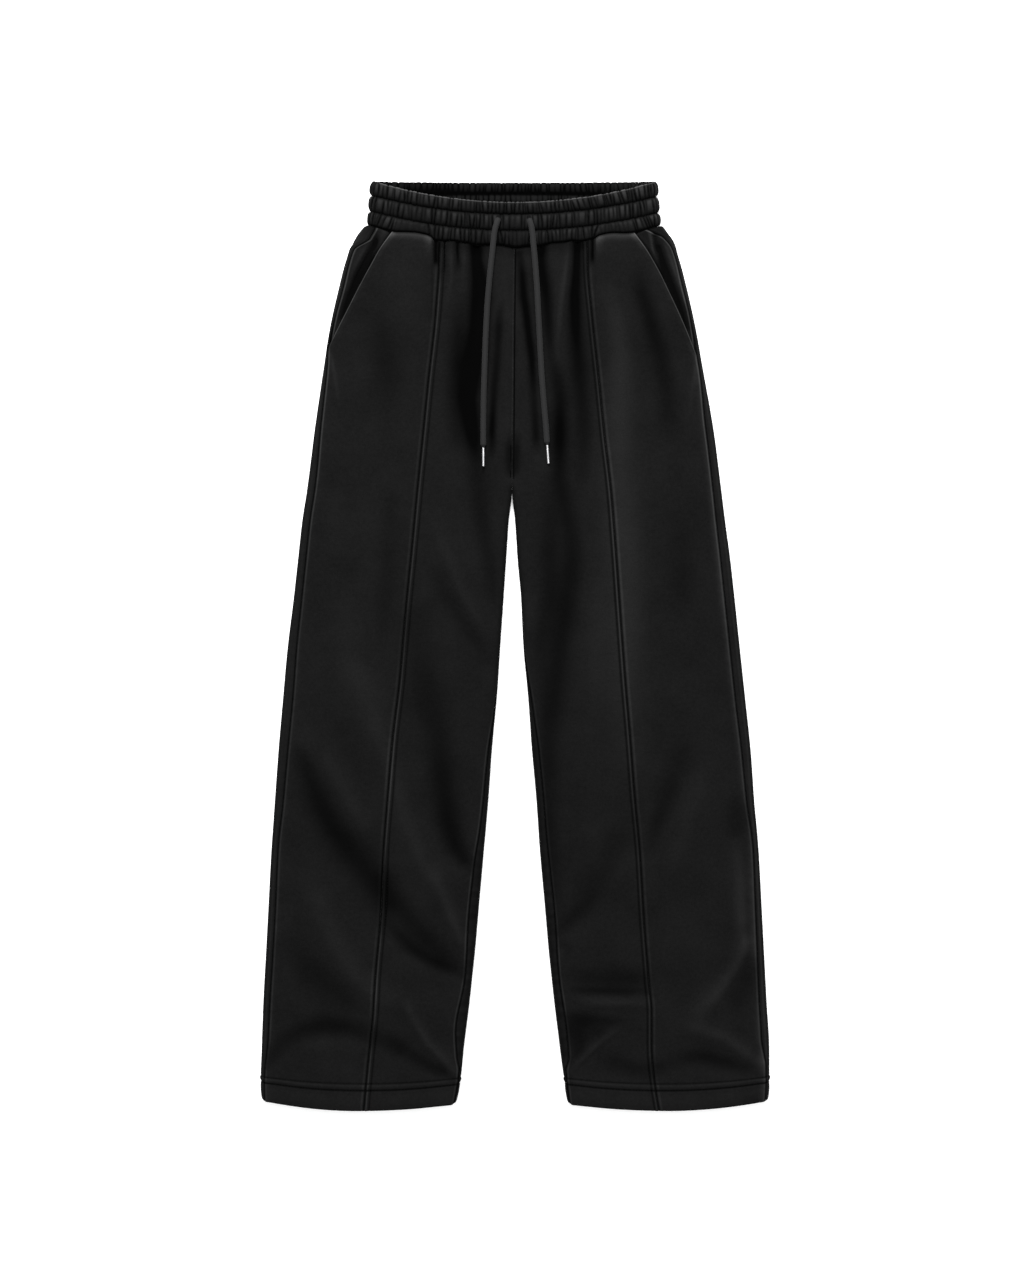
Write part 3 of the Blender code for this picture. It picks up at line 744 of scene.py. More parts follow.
# Creases of the upper side: x, height, lift and half width at each point of the line.
upperCreases = (
    # right leg: the long fold from the side across the knee to the inseam
    ((-247, 412, 0, 8), (-240, 396, -3.0, 10), (-225, 356, -5.2, 15), (-203, 314, -5.8, 19),
     (-177, 281, -5.2, 21), (-157, 255, -5.0, 20), (-147, 228, -3.8, 16), (-144, 204, -1.2, 12)),
    ((-146, 258, -1.5, 12), (-135, 236, -3.2, 14), (-121, 214, -4.2, 15), (-100, 190, -4.4, 14),
     (-80, 170, -3.8, 12), (-62, 157, -2.2, 9)),
    ((-142, 208, -1.0, 7), (-130, 194, -3.4, 8), (-117, 181, -4.0, 7.5), (-97, 168, -3.6, 7),
     (-77, 159, -2.8, 6), (-64, 154, -1, 5)),
    ((-96, 278, 0, 10), (-88, 262, 2.6, 9), (-80, 240, 3.2, 9), (-68, 212, 3.4, 8),
     (-60, 190, 2.8, 7), (-56, 178, 0, 6)),
    ((-120, 600, 0, 16), (-113, 555, -1.6, 18), (-104, 505, -2.6, 19), (-97, 465, -3.2, 19),
     (-92, 440, -3.4, 18), (-87, 410, -4.2, 17), (-80, 360, -5.2, 16),
     (-76, 325, -5.6, 15), (-67, 296, -5.6, 12), (-57, 281, -5.0, 9), (-50, 274, -2, 8)),
    ((-182, 520, 0, 16), (-172, 480, 2.2, 17), (-150, 417, 3.0, 16), (-136, 372, 2.8, 14),
     (-123, 327, 2.8, 13), (-108, 290, 2.6, 12), (-97, 262, 2.0, 11), (-90, 240, 0, 10)),
    ((-222, 420, 0, 12), (-208, 390, 2.4, 13), (-188, 350, 2.8, 13), (-170, 318, 2.4, 12),
     (-158, 300, 0, 10)),
    ((-232, 270, 0, 16), (-222, 240, 2.4, 18), (-203, 192, 3.0, 18), (-180, 150, 3.0, 17),
     (-150, 124, 2.4, 15), (-128, 116, 0, 12)),
    ((-268, 205, 0, 14), (-250, 182, -2.0, 18), (-232, 158, -2.8, 20), (-212, 140, -3.2, 20),
     (-190, 124, -3.2, 18), (-172, 112, -1.5, 14)),
    ((-281, 52, -1.5, 10), (-262, 74, -3.0, 11), (-240, 88, -4.0, 11), (-214, 94, -4.4, 12),
     (-190, 92, -4.2, 12), (-166, 84, -3.0, 12), (-146, 76, -2.6, 12), (-132, 68, -2.2, 10)),
    ((-240, 66, 0, 10), (-214, 73, 1.4, 12), (-186, 72, 1.2, 12), (-170, 68, 0, 10)),
    ((-128, 124, 0, 6), (-120, 114, 2.2, 6.5), (-109, 95, 3.0, 6.5), (-97, 76, 3.6, 6.5),
     (-81, 59, 3.6, 6.5), (-66, 42, 2.8, 6), (-60, 34, 0, 5)),
    ((-134, 74, -1.6, 9), (-118, 61, -3.2, 9), (-100, 50, -3.8, 8), (-84, 41, -3.4, 6),
     (-70, 35, -2, 5)),
    ((-142, 146, 0, 10), (-128, 132, 1.8, 12), (-118, 118, 1.2, 10), (-110, 110, 0, 8)),
    # right leg: thigh and knee
    ((-96, 680, 0, 10), (-88, 655, 1.6, 11), (-79, 632, 2.4, 11), (-62, 587, 2.6, 10),
     (-40, 548, 2.4, 9), (-28, 520, 0, 8)),
    ((-92, 615, 0, 10), (-84, 593, -2.2, 11), (-68, 564, -2.8, 11), (-45, 530, -2.6, 10),
     (-30, 508, -1, 9)),
    ((-140, 700, 0, 9), (-140, 660, -1.8, 10), (-144, 600, -2.2, 11), (-148, 540, -1.6, 10),
     (-150, 500, 0, 9)),
    ((-186, 600, 0, 18), (-188, 550, 2.0, 22), (-186, 500, 2.0, 22), (-182, 455, 0, 18)),
    ((-208, 460, 0, 10), (-196, 425, -0.9, 11), (-184, 392, -1.0, 11), (-172, 362, 0, 10)),
    # left leg: folds above the hem
    ((58, 152, -1.0, 11), (80, 147, -3.0, 13), (104, 145, -3.6, 13), (130, 145, -3.2, 12),
     (150, 146, -1.6, 10), (160, 147, 0, 9)),
    ((66, 134, -1.4, 4.5), (90, 133, -3.0, 4.8), (125, 132, -3.0, 4.8), (148, 133, -1.2, 4.5)),
    ((72, 121, 0, 6), (90, 122, 2.2, 6.5), (120, 122, 2.6, 6.5), (146, 121, 2.0, 7),
     (160, 121, 0, 7)),
    ((60, 104, -2.0, 8), (76, 102, -3.0, 8), (98, 100, -3.2, 7), (118, 99, -1.6, 6)),
    ((64, 92, -3.6, 11), (72, 78, -4.2, 11), (72, 66, -3.8, 9), (66, 54, -2.4, 7)),
    ((80, 92, -3.0, 11), (94, 86, -2.8, 10), (106, 92, -1.8, 8)),
    ((120, 92, 0, 5), (108, 87, 2.0, 4.5), (92, 75, 2.8, 4.5), (76, 59, 2.8, 4.5),
     (64, 47, 2.0, 4.5), (60, 42, 0, 4)),
    ((266, 200, 0, 8), (262, 190, 2.8, 9), (249, 163, 3.8, 9), (226, 129, 3.8, 9.5),
     (209, 112, 2.8, 12), (197, 98, 1.2, 14)),
    ((186, 88, 0, 10), (208, 92, 2.8, 10), (236, 82, 3.4, 9), (260, 65, 3.2, 8), (274, 52, 1.4, 6)),
    ((250, 310, 0, 8), (252, 280, 3.0, 10), (254, 250, 4.4, 11), (256, 215, 5.0, 11),
     (258, 185, 2.4, 9), (260, 168, 0, 8)),
    ((274, 70, 0, 5), (278, 55, 4.0, 6), (276, 38, 0, 5)),
    ((168, 50, -1, 9), (184, 54, -2.4, 9), (200, 58, -3.4, 9), (218, 58, -4.0, 9),
     (240, 51, -3.8, 9), (260, 43, -2.6, 8), (270, 38, -1, 7)),
    ((266, 168, -1.2, 8), (260, 145, -2.6, 12), (252, 122, -2.4, 14), (246, 104, 0, 12)),
    ((92, 60, 0, 10), (112, 52, -2.2, 10), (136, 44, -2.8, 10), (160, 45, -2.4, 10),
     (176, 48, 0, 9)),
    # left leg: knee and thigh
    ((200, 450, 0, 16), (190, 405, -2.0, 16), (177, 365, -2.6, 14), (162, 325, -3.4, 10),
     (154, 295, -1.6, 9), (152, 280, 0, 8)),
    ((214, 392, 0, 14), (205, 362, 2.0, 15), (195, 327, 2.4, 15), (180, 285, 2.2, 14),
     (170, 255, 0, 12)),
    ((50, 200, -1.5, 8), (62, 212, -2.8, 9), (78, 228, -2.6, 10), (94, 252, -2.0, 13),
     (108, 284, -2.4, 16), (120, 312, -1.6, 16), (130, 340, 0, 15)),
    ((54, 186, -1.5, 5), (60, 180, -1.8, 5), (58, 168, -1.4, 5)),
    ((252, 360, 0, 12), (250, 335, -2.2, 13), (250, 315, -2.0, 12), (252, 295, 0, 10)),
    ((34, 715, 0, 11), (38, 690, -2.2, 12), (40, 650, -3.6, 13), (40, 621, -4.0, 13),
     (38, 576, -3.6, 12), (32, 540, -2.4, 11), (26, 500, -1.6, 10), (24, 460, 0, 10)),
    ((100, 960, 0, 12), (106, 921, 2.6, 14), (115, 881, 3.8, 15), (118, 847, 4.2, 16),
     (118, 802, 4.4, 19), (117, 757, 4.6, 22), (117, 711, 4.6, 25), (119, 666, 4.8, 27),
     (121, 621, 5.0, 28), (122, 576, 4.8, 28), (124, 530, 4.4, 28), (126, 465, 3.4, 27),
     (128, 420, 2.4, 25), (128, 380, 1.6, 22), (128, 340, 0, 20)),
    ((226, 760, 0, 8), (229, 690, 1.8, 9), (232, 630, 2.2, 9), (238, 560, 2.0, 9),
     (242, 500, 0, 8)),
    ((186, 680, 0, 12), (186, 640, -2.0, 14), (187, 590, -2.0, 14), (188, 550, 0, 12)),
    ((92, 620, 0, 12), (90, 560, 1.6, 14), (88, 480, 1.8, 14), (90, 440, 0, 12)),
    ((68, 400, 0, 14), (68, 360, -0.8, 16), (70, 300, -1.4, 17), (74, 250, -1.2, 16),
     (76, 215, 0, 14)),
    # under the waistband, right
    ((-44, 996, -6.2, 6.5), (-43, 975, -6.6, 7.5), (-40, 950, -6.8, 9.5), (-39.5, 921, -6.8, 11),
     (-42, 881, -6.2, 11), (-46, 847, -6.0, 13), (-53, 802, -5.6, 13), (-47, 757, -5.4, 11),
     (-42, 725, -3.4, 11), (-40, 700, -2.6, 11), (-37, 666, -3.4, 10), (-30, 621, -3.2, 9),
     (-24, 580, -2.4, 8), (-20, 555, 0, 8)),
    ((-60, 935, 0, 8), (-62, 900, -1.6, 9), (-64, 870, -2.6, 10), (-66, 840, -2.8, 10),
     (-70, 802, -1.6, 10), (-66, 757, -1.8, 10), (-60, 730, 0, 10)),
    ((-12, 918, 0, 4), (-16, 902, -1.6, 4), (-18, 881, -3.2, 4.5), (-20, 847, -2.8, 4.5),
     (-24, 802, -3.4, 4.5), (-26, 765, -4.6, 4.5), (-26, 744, -3, 4.5), (-26, 728, 0, 4)),
    ((-12, 990, 1.0, 5), (-12, 950, 1.2, 5), (-10, 910, 0.8, 6), (-6, 880, 1.0, 6),
     (-8, 820, 1.0, 6), (-9, 770, 1.6, 5), (-8, 748, 0, 5)),
    ((-154, 905, 0, 14), (-150, 875, -1.5, 16), (-146, 845, -2.1, 17), (-142, 815, -1.1, 17),
     (-140, 785, 0, 16)),
    ((-128, 975, 0, 16), (-126, 945, 1.6, 20), (-120, 905, 1.8, 20), (-118, 870, 0, 18)),
    ((-89, 998, -4.4, 2.2), (-89, 975, -4.0, 2.2), (-89, 966, -1.0, 2.4)),
    ((-79.3, 998, -3.0, 1.7), (-79.3, 970, -2.8, 1.7), (-79.3, 950, 0, 1.8)),
    ((-72, 998, 2.2, 3.6), (-71.6, 972, 2.8, 4.0), (-71, 948, 2.6, 4.4), (-74, 925, 2.0, 5),
     (-80, 890, 1.2, 5), (-86, 860, 0, 6)),
    ((-65, 998, -4.4, 2.4), (-64.5, 978, -4.2, 2.4), (-63.5, 964, -1.8, 3), (-63, 952, 0, 3)),
    ((-56.5, 996, 2.0, 3.6), (-56.5, 972, 2.4, 4.0), (-58, 945, 1.4, 5), (-60, 920, 0, 5)),
    ((-207, 852, 1.5, 2.4), (-205, 841, 4.2, 2.6), (-202, 822, 3.6, 3), (-199, 800, 1.8, 3.6),
     (-196, 780, 0, 4)),
    # under the waistband, left
    ((5, 990, -2.0, 4), (8, 960, -4.2, 5), (10, 921, -4.8, 5), (14.7, 881, -5.0, 4.6),
     (19, 847, -4.8, 4.6), (21.5, 802, -2.6, 4.6), (24, 757, -3.6, 4.6), (25, 735, 0, 5)),
    ((29, 996, -4.4, 6), (30, 970, -4.4, 7), (33, 940, -4.4, 8.5), (35, 921, -4.0, 8),
     (38, 881, -3.4, 6.5), (42, 847, -2.4, 7), (49, 815, -3.0, 9), (51, 795, -3.6, 10),
     (50, 757, -4.8, 10), (50, 711, -4.6, 10), (57, 680, -4.4, 11), (63, 650, -4.4, 12),
     (66, 621, -4.6, 13), (59, 576, -4.8, 15), (52, 530, -4.8, 16), (46, 485, -4.8, 16),
     (40, 440, -4.4, 14), (38, 400, -3.8, 13), (38, 360, -3.4, 11), (40, 310, -3.4, 10),
     (42, 270, -3.2, 10), (46, 235, -2.4, 9), (50, 205, 0, 8)),
    ((60, 996, 2.0, 4), (57, 962, 3.4, 5), (53, 921, 3.6, 5.5), (49, 881, 3.0, 6),
     (46, 850, 1.4, 6), (44, 822, 0, 6)),
    ((70, 998, -5.4, 5), (69, 960, -5.8, 5.5), (67, 921, -5.8, 7), (68, 881, -4.6, 9),
     (71, 847, -3.6, 11), (75, 802, -2.8, 11), (79, 757, -2.6, 11), (77, 711, -2.4, 11),
     (73, 680, 0, 11)),
    ((87, 998, -3.6, 2.0), (87, 976, -3.0, 2.0), (87, 964, 0, 2.2)),
    ((138, 965, 0, 9), (143, 921, -2.8, 10), (153, 885, -3.2, 11), (163, 850, -2.6, 12),
     (170, 815, -2.2, 13), (174, 780, -1.4, 13), (176, 745, 0, 13)),
    ((203, 843, 1.0, 3), (202, 828, 3.4, 3.4), (199, 802, 2.4, 4), (196, 772, 0, 5)),
    ((190, 866, 0, 3), (197, 858, 2.0, 3), (205, 847, 2.2, 3)),
    # the crotch
    ((-6, 766, 0, 4), (-6, 745, -3.2, 4.5), (-6, 720, -3.4, 4.5), (-7, 706, 0, 4)),
    ((2, 766, 0, 4), (2, 745, -3.2, 4.5), (1, 720, -3.4, 4.5), (2, 706, 0, 4)),
)

# Creases of the underside, lifted off the floor; the lift is upwards.
underCreases = (
    ((-40, 930, 0, 16), (-80, 905, 2.6, 20), (-140, 880, 2.2, 20), (-180, 868, 0, 16)),
    ((38, 915, 0, 16), (76, 892, 2.8, 20), (132, 872, 2.0, 18), (170, 862, 0, 16)),
    ((-30, 720, 0, 14), (-66, 690, 3.0, 17), (-110, 672, 2.4, 20), (-150, 664, 0, 18)),
    ((24, 728, 0, 14), (60, 696, 3.0, 16), (112, 676, 2.2, 20), (160, 668, 0, 18)),
    ((-18, 700, 0, 12), (-40, 640, 2.2, 16), (-52, 560, 2.0, 18), (-60, 480, 0, 18)),
    ((16, 700, 0, 12), (36, 630, 2.4, 16), (46, 540, 1.8, 18), (50, 470, 0, 18)),
    ((-210, 470, 0, 18), (-180, 430, 2.8, 22), (-130, 400, 2.4, 22), (-90, 386, 0, 18)),
    ((220, 440, 0, 18), (180, 410, 2.6, 20), (128, 392, 2.2, 22), (80, 384, 0, 18)),
    ((-240, 230, 0, 16), (-190, 196, 2.4, 20), (-120, 180, 2.0, 20), (-84, 172, 0, 16)),
    ((236, 200, 0, 16), (196, 170, 2.6, 18), (140, 158, 1.8, 20), (92, 154, 0, 16)),
    ((-150, 330, 0, 20), (-154, 280, 1.8, 24), (-160, 240, 0, 20)),
    ((142, 320, 0, 20), (150, 260, 1.8, 24), (156, 220, 0, 20)),
)

# Small pleats where the back is gathered into the band: x, length, lift, half width.
backPleats = (
    (-148, 60, 1.2, 5), (-128, 90, 1.8, 6), (-109, 46, 1.0, 5), (-93, 110, 2.2, 7),
    (-71, 70, 1.4, 5), (-52, 96, 2.0, 6), (-33, 52, 1.2, 5), (-16, 80, 1.6, 6),
    (12, 66, 1.4, 5), (29, 100, 2.0, 6), (49, 54, 1.1, 5), (67, 92, 1.9, 6),
    (88, 74, 1.5, 6), (104, 48, 1.0, 5), (124, 98, 2.0, 7), (146, 58, 1.2, 5),
)


def frontDip(x, z, radius, depth):
    # The front of the band and of the hips hangs lower in the middle.
    across = np.maximum(0.0, 1 - (x / legSetup["dipHalf"]) ** 2)
    return (depth * across + legSetup["sag"] * np.sqrt(across)) * ease(z / (2 * radius))


def overhang(x, z, radius):
    return readTable(legCut["overhang"], x, 1) * ease(z / (2 * radius))


class Leg:
    # One half of the body: a leg, and above the crotch its side of the hips.
    def __init__(self, side):
        self.side = side
        self.sign = -1 if side == "right" else 1
        self.columns = {"outer": 1, "inner": 2} if side == "right" else {"outer": 4, "inner": 3}
        self.strip = 1 if side == "right" else 2

    def edge(self, end, height):
        x = readTable(legCut["outline"], height, self.columns[end])
        if end == "inner":
            up = np.maximum(0.0, (height - crotch) / (fullLength - crotch))
            x = x + (legSetup["centreTop"] - legSetup["centreCrotch"]) * up
        return x

    def across(self, x, height):
        # Share of the way from the outer edge to the inner one.
        outer, inner = self.edge("outer", height), self.edge("inner", height)
        return np.abs(x - outer) / np.abs(inner - outer)

    def radius(self, height):
        return readTable(legCut["fullness"], height, 1)

    def along(self, height, x, end="outer"):
        r = self.radius(height)
        d = np.abs(x - self.edge(end, height))
        bend = r * np.arccos(1 - np.minimum(d, r) / r)
        return np.where(d < r, bend, r * math.pi / 2 + d - r)

    def sideSeam(self, height):
        strip = readTable(legCut["sideStrip"], height, self.strip)
        return self.along(height, self.edge("outer", height) - self.sign * strip)

    def inseam(self, height):
        strip = readTable(legCut["innerStrip"], height, self.strip)
        way = self.along(height, self.edge("inner", height) + self.sign * strip, "inner")
        return np.where((strip < 0.01 * mm) | (height > crotch), 0.0, way)

    def mouth(self, height):
        return self.along(height, readTable(legCut["mouth"], height, self.strip))

    def frontSeam(self, height, end):
        return self.along(height, readTable(legCut["frontSeam"], height, self.strip), end)

    def upperLift(self, x, height):
        folds = creaseLift(x, height, upperCreases)
        return folds + legSetup["swell"] * softWaves(x, height, 3, legSetup["swellWave"])

    def underLift(self, x, height):
        under = creaseLift(x, height, underCreases)
        for px, reach, lift, half in backPleats:
            near = fade(bandBottom - height, reach * mm)
            under = under + lift * mm * near * dent((x - px * mm) / (half * mm))
        return under

    def hemRise(self, x, height, toFold):
        # The hem curves up to both of its ends, and its corners are eased.
        across = self.across(x, height)
        outerRise, innerRise = legSetup["hemRise"]
        rise = np.where(across < 0.5, outerRise, innerRise)
        rise = rise * np.abs(2 * across - 1) ** legSetup["hemCurve"]
        corner = np.maximum(0.0, 1 - toFold / legSetup["hemCornerWidth"])
        rise = rise + legSetup["hemCorner"] * corner**2
        return rise * np.maximum(0.0, 1 - height / legSetup["hemReach"])

    def place(self, height, s, onOuter):
        # s runs round the section from an end's outermost point: up is positive.
        r, full = self.radius(height), readTable(legCut["fullness"], height, 2)
        quarter = r * math.pi / 2
        way = np.abs(s)
        bend = r * (1 - np.cos(np.minimum(way, quarter) / r))
        d = np.where(way < quarter, bend, r + way - quarter)
        outer, inner = self.edge("outer", height), self.edge("inner", height)
        x = np.where(onOuter, outer - self.sign * d, inner + self.sign * d)
        x = x + np.where(s > 0, 0.0, self.seatShift(x, height))
        fromOuter = np.where(onOuter, d, np.abs(x - outer))
        fromInner = np.where(onOuter, np.abs(x - inner), d)
        fromInner = np.hypot(fromInner, np.maximum(0.0, height - crotch))
        toFold = np.minimum(fromOuter, fromInner)
        near = np.minimum(toFold, r)
        roundPart = np.sqrt(np.maximum(0.0, r * r - (r - near) ** 2))
        shown = ease((toFold - r) / legSetup["foldFade"])
        spread = legSetup["puffSpread"]
        puff = ease((fromOuter - r) / spread) * ease((fromInner - r) / spread)
        upper = r + roundPart + (full - 2 * r) * puff + self.upperLift(x, height) * shown
        lower = r - roundPart + self.underLift(x, height) * shown
        z = np.where(s > 0, upper, lower)
        down = bandBottom - height
        pull = frontDip(x, z, r, legSetup["dipBottom"]) * ease(1 - down / legSetup["dipReach"])
        over = overhang(x, z, r) * ease(1 - down / legSetup["overhangReach"])
        y = height + np.where(s > 0, over - pull, 0.0) + self.hemRise(x, height, toFold)
        return np.stack(np.broadcast_arrays(x, y - fullLength / 2, z), -1)

    def seatShift(self, x, height):
        # The seat seam runs a little beside the front one, so nothing shows through the two.
        near = dent((x - self.edge("inner", height)) / legSetup["seatWidth"])
        return legSetup["seatShift"] * near * ease((height - crotch) / legSetup["seatReach"])

    def normal(self, height, s, onOuter):
        step = 0.05 * mm
        low = height - step
        high = np.where((low < crotch) & (crotch <= height), height, height + step)
        roundWay = self.place(height, s + step, onOuter) - self.place(height, s - step, onOuter)
        upWay = self.place(high, s, onOuter) - self.place(low, s, onOuter)
        n = np.cross(upWay, roundWay)
        n /= np.maximum(np.linalg.norm(n, axis=-1, keepdims=True), 1e-12)
        outward = np.where(np.asarray(onOuter) == (self.sign > 0), 1.0, -1.0)
        return n * np.broadcast_to(outward, n.shape[:-1])[..., None]


# Panels.
panelSetup = {
    # columns beside an edge, in millimetres from it
    "edgeOffsets": (0, 0.35, 0.7, 1.1, 1.5, 1.95, 2.4, 2.9, 3.4, 3.9, 4.4, 4.9, 5.4, 5.9, 6.5,
                    7.3, 8.6, 10.4, 13),
    # rows of the hem and of the top, in millimetres, and even rows between them
    "hemRows": (0, 0.4, 0.8, 1.3, 1.9, 2.6, 3.6, 5.5, 8, 11, 14, 17, 19),
    "hemLineRows": (20, 37.1, 0.75),
    "topRows": (984, 987, 989.5, 991.5, 993, 994.2, 995.2, 996, 996.6, 997.1, 997.5),
    "parts": (250, 850),
    "partRows": (82, 144, 54),
    "spareRow": 150,
    "frontMiddle": 53,
    "backMiddle": 46,
    "backSide": 9,
    "innerStep": 3,  # the hidden side of the cloth has one point in three
    # painted shade on the hidden side of the cloth
    "hiddenSideShade": 0.1,
    "neutral": 0.5,
}
hemLook = {
    "line": 23.0 * mm,  # the lower sewn line at the middle of the leg
    "twin": 7.7 * mm,  # the upper one above it
    "bow": 3.0 * mm,
    "bowPower": 2.5,
    "grooves": ((0.9 * mm, 0.85 * mm), (0.7 * mm, 0.9 * mm)),  # depth and half width
    "ridge": 0.9 * mm,
    "ridgeAt": 0.58,
    "ridgeHalf": 0.55,
    "fold": 0.5 * mm,
    "pucker": 0.2 * mm,
    "puckerWave": 8 * mm,
    "puckerReach": 14 * mm,
    "edge": (1.7 * mm, 2.0 * mm),
    "shadows": ((0.34, 0.95), (0.16, 0.9)),
    "lights": ((0.02, -2.1, 1.6), (0.02, -2.0, 1.5)),
}
seamLook = {
    # millimetres from the seam: the ridge, and the sewn line beyond it
    "right": {"ridgeAt": 2.0, "ridgeHalf": 1.7, "ridge": 0.9, "lineAt": 5.4, "line": 0.6,
              "bright": 0.13},
    "left": {"ridgeAt": 2.0, "ridgeHalf": 1.5, "ridge": 0.9, "lineAt": 4.4, "line": 0.8,
             "bright": 0.07},
    "pucker": 0.16 * mm,
    "puckerWave": 11 * mm,
    "puckerReach": 14 * mm,
    "shadowHalf": 1.25,
    "light": (2.1, 1.3),
}
topLook = {
    "start": 0.5 * mm,
    "roll": (2.2 * mm, 3.0 * mm),
    "shadows": ((0.42, 2.8), (0.2, 18)),  # depth and reach, dark where it goes under the band
}


def panelRows():
    setup = panelSetup
    hem = list(setup["hemRows"]) + list(np.arange(*setup["hemLineRows"]))
    top = setup["topRows"]
    low, high = setup["parts"]
    few, many, some = setup["partRows"]
    lower = np.linspace(hem[-1], low, few)[1:]
    middle = np.linspace(low, high, many)[1:]
    upper = np.linspace(high, top[0], some)[1:-1]
    rows = np.concatenate((hem, lower, middle, upper, top)) * mm
    while (len(rows) - 1) % setup["innerStep"]:
        rows = np.delete(rows, setup["spareRow"])
    rows[int(np.argmin(np.abs(rows - crotch)))] = crotch
    return rows


def panelWays(start, end, middle):
    # Columns: close together beside both edges, even between them. start and end are (rows, 1).
    offsets = np.array(panelSetup["edgeOffsets"]) * mm
    even = np.linspace(0, 1, middle + 2)[1:-1]
    first, last = start + offsets[None], end - offsets[None, ::-1]
    between = first[:, -1:] + (last[:, :1] - first[:, -1:]) * even[None]
    return np.concatenate((first, between, last), axis=1)


def hemLine(across):
    return hemLook["line"] + hemLook["bow"] * np.abs(2 * across - 1) ** hemLook["bowPower"]


def hemRelief(leg, x, height):
    look = hemLook
    line = hemLine(leg.across(x, height))
    g, twin = height - line, look["twin"]
    low, high = look["grooves"]
    lift = groove(g, *low) + groove(g - twin, *high)
    lift += look["ridge"] * hump((g - look["ridgeAt"] * twin) / (look["ridgeHalf"] * twin))
    lift += look["fold"] * hump((height - line / 2) / (line / 2))
    pucker = softWaves(x, height * 0.3, 11, look["puckerWave"])
    lift += look["pucker"] * pucker * hump((g - twin / 2) / look["puckerReach"])
    return lift + rolled(height, *look["edge"])


# Painted shade in the hem's two sewn grooves and painted light lines beside them.
def hemTone(leg, x, height):
    look = hemLook
    g = (height - hemLine(leg.across(x, height))) / mm
    twin = look["twin"] / mm
    low, high = look["shadows"]
    between, below = look["lights"]
    tone = groove(g, *low) + groove(g - twin, *high)
    return tone + ridge(g - twin, *between) + ridge(g, *below)


def seamPucker(height, distance, seed):
    wave = softWaves(height, distance * 0.4, seed, seamLook["puckerWave"])
    return seamLook["pucker"] * wave * hump(distance / seamLook["puckerReach"])


def seamTone(distance, shadow, bright):
    # A shadow in the seam and a light line on the edge beside it; millimetres.
    light = ridge(distance, bright, *seamLook["light"])
    return light - fading(distance, shadow, seamLook["shadowHalf"])


def foldTone(s):
    # Painted shade: the outermost turn of the leg shows as a fine dark line.
    return groove(s, *legSetup["foldShadow"])


def topRelief(height):
    return rolled(bandBottom - topLook["start"] - height, *topLook["roll"])


def topTone(height):
    down = (bandBottom - height) / mm
    near, wide = topLook["shadows"]
    return -fading(down, *near) - fading(down, *wide)


def cordBed(points):
    # The cloth rises or sinks to meet the underside of each drawcord.
    setup = cordSetup["bed"]
    lift = np.zeros(points.shape[:2])
    for line in cordLines.values():
        path = line[::6]
        box = points[..., 1] > path[-1, 1] - setup["below"]
        box = box & (np.abs(points[..., 0]) < setup["beside"])
        some = points[box]
        away = np.hypot(some[:, None, 0] - path[None, :, 0], some[:, None, 1] - path[None, :, 1])
        nearest = away.argmin(axis=1)
        distance = away[np.arange(len(some)), nearest]
        under = path[nearest, 2] - cordSetup["diameter"] / 2 - setup["gap"]
        past = np.maximum(0.0, path[-1, 1] - some[:, 1])
        share = dent(distance / setup["half"]) * fade(past, setup["fade"])
        lift[box] += (under - some[:, 2]) * share
    return lift


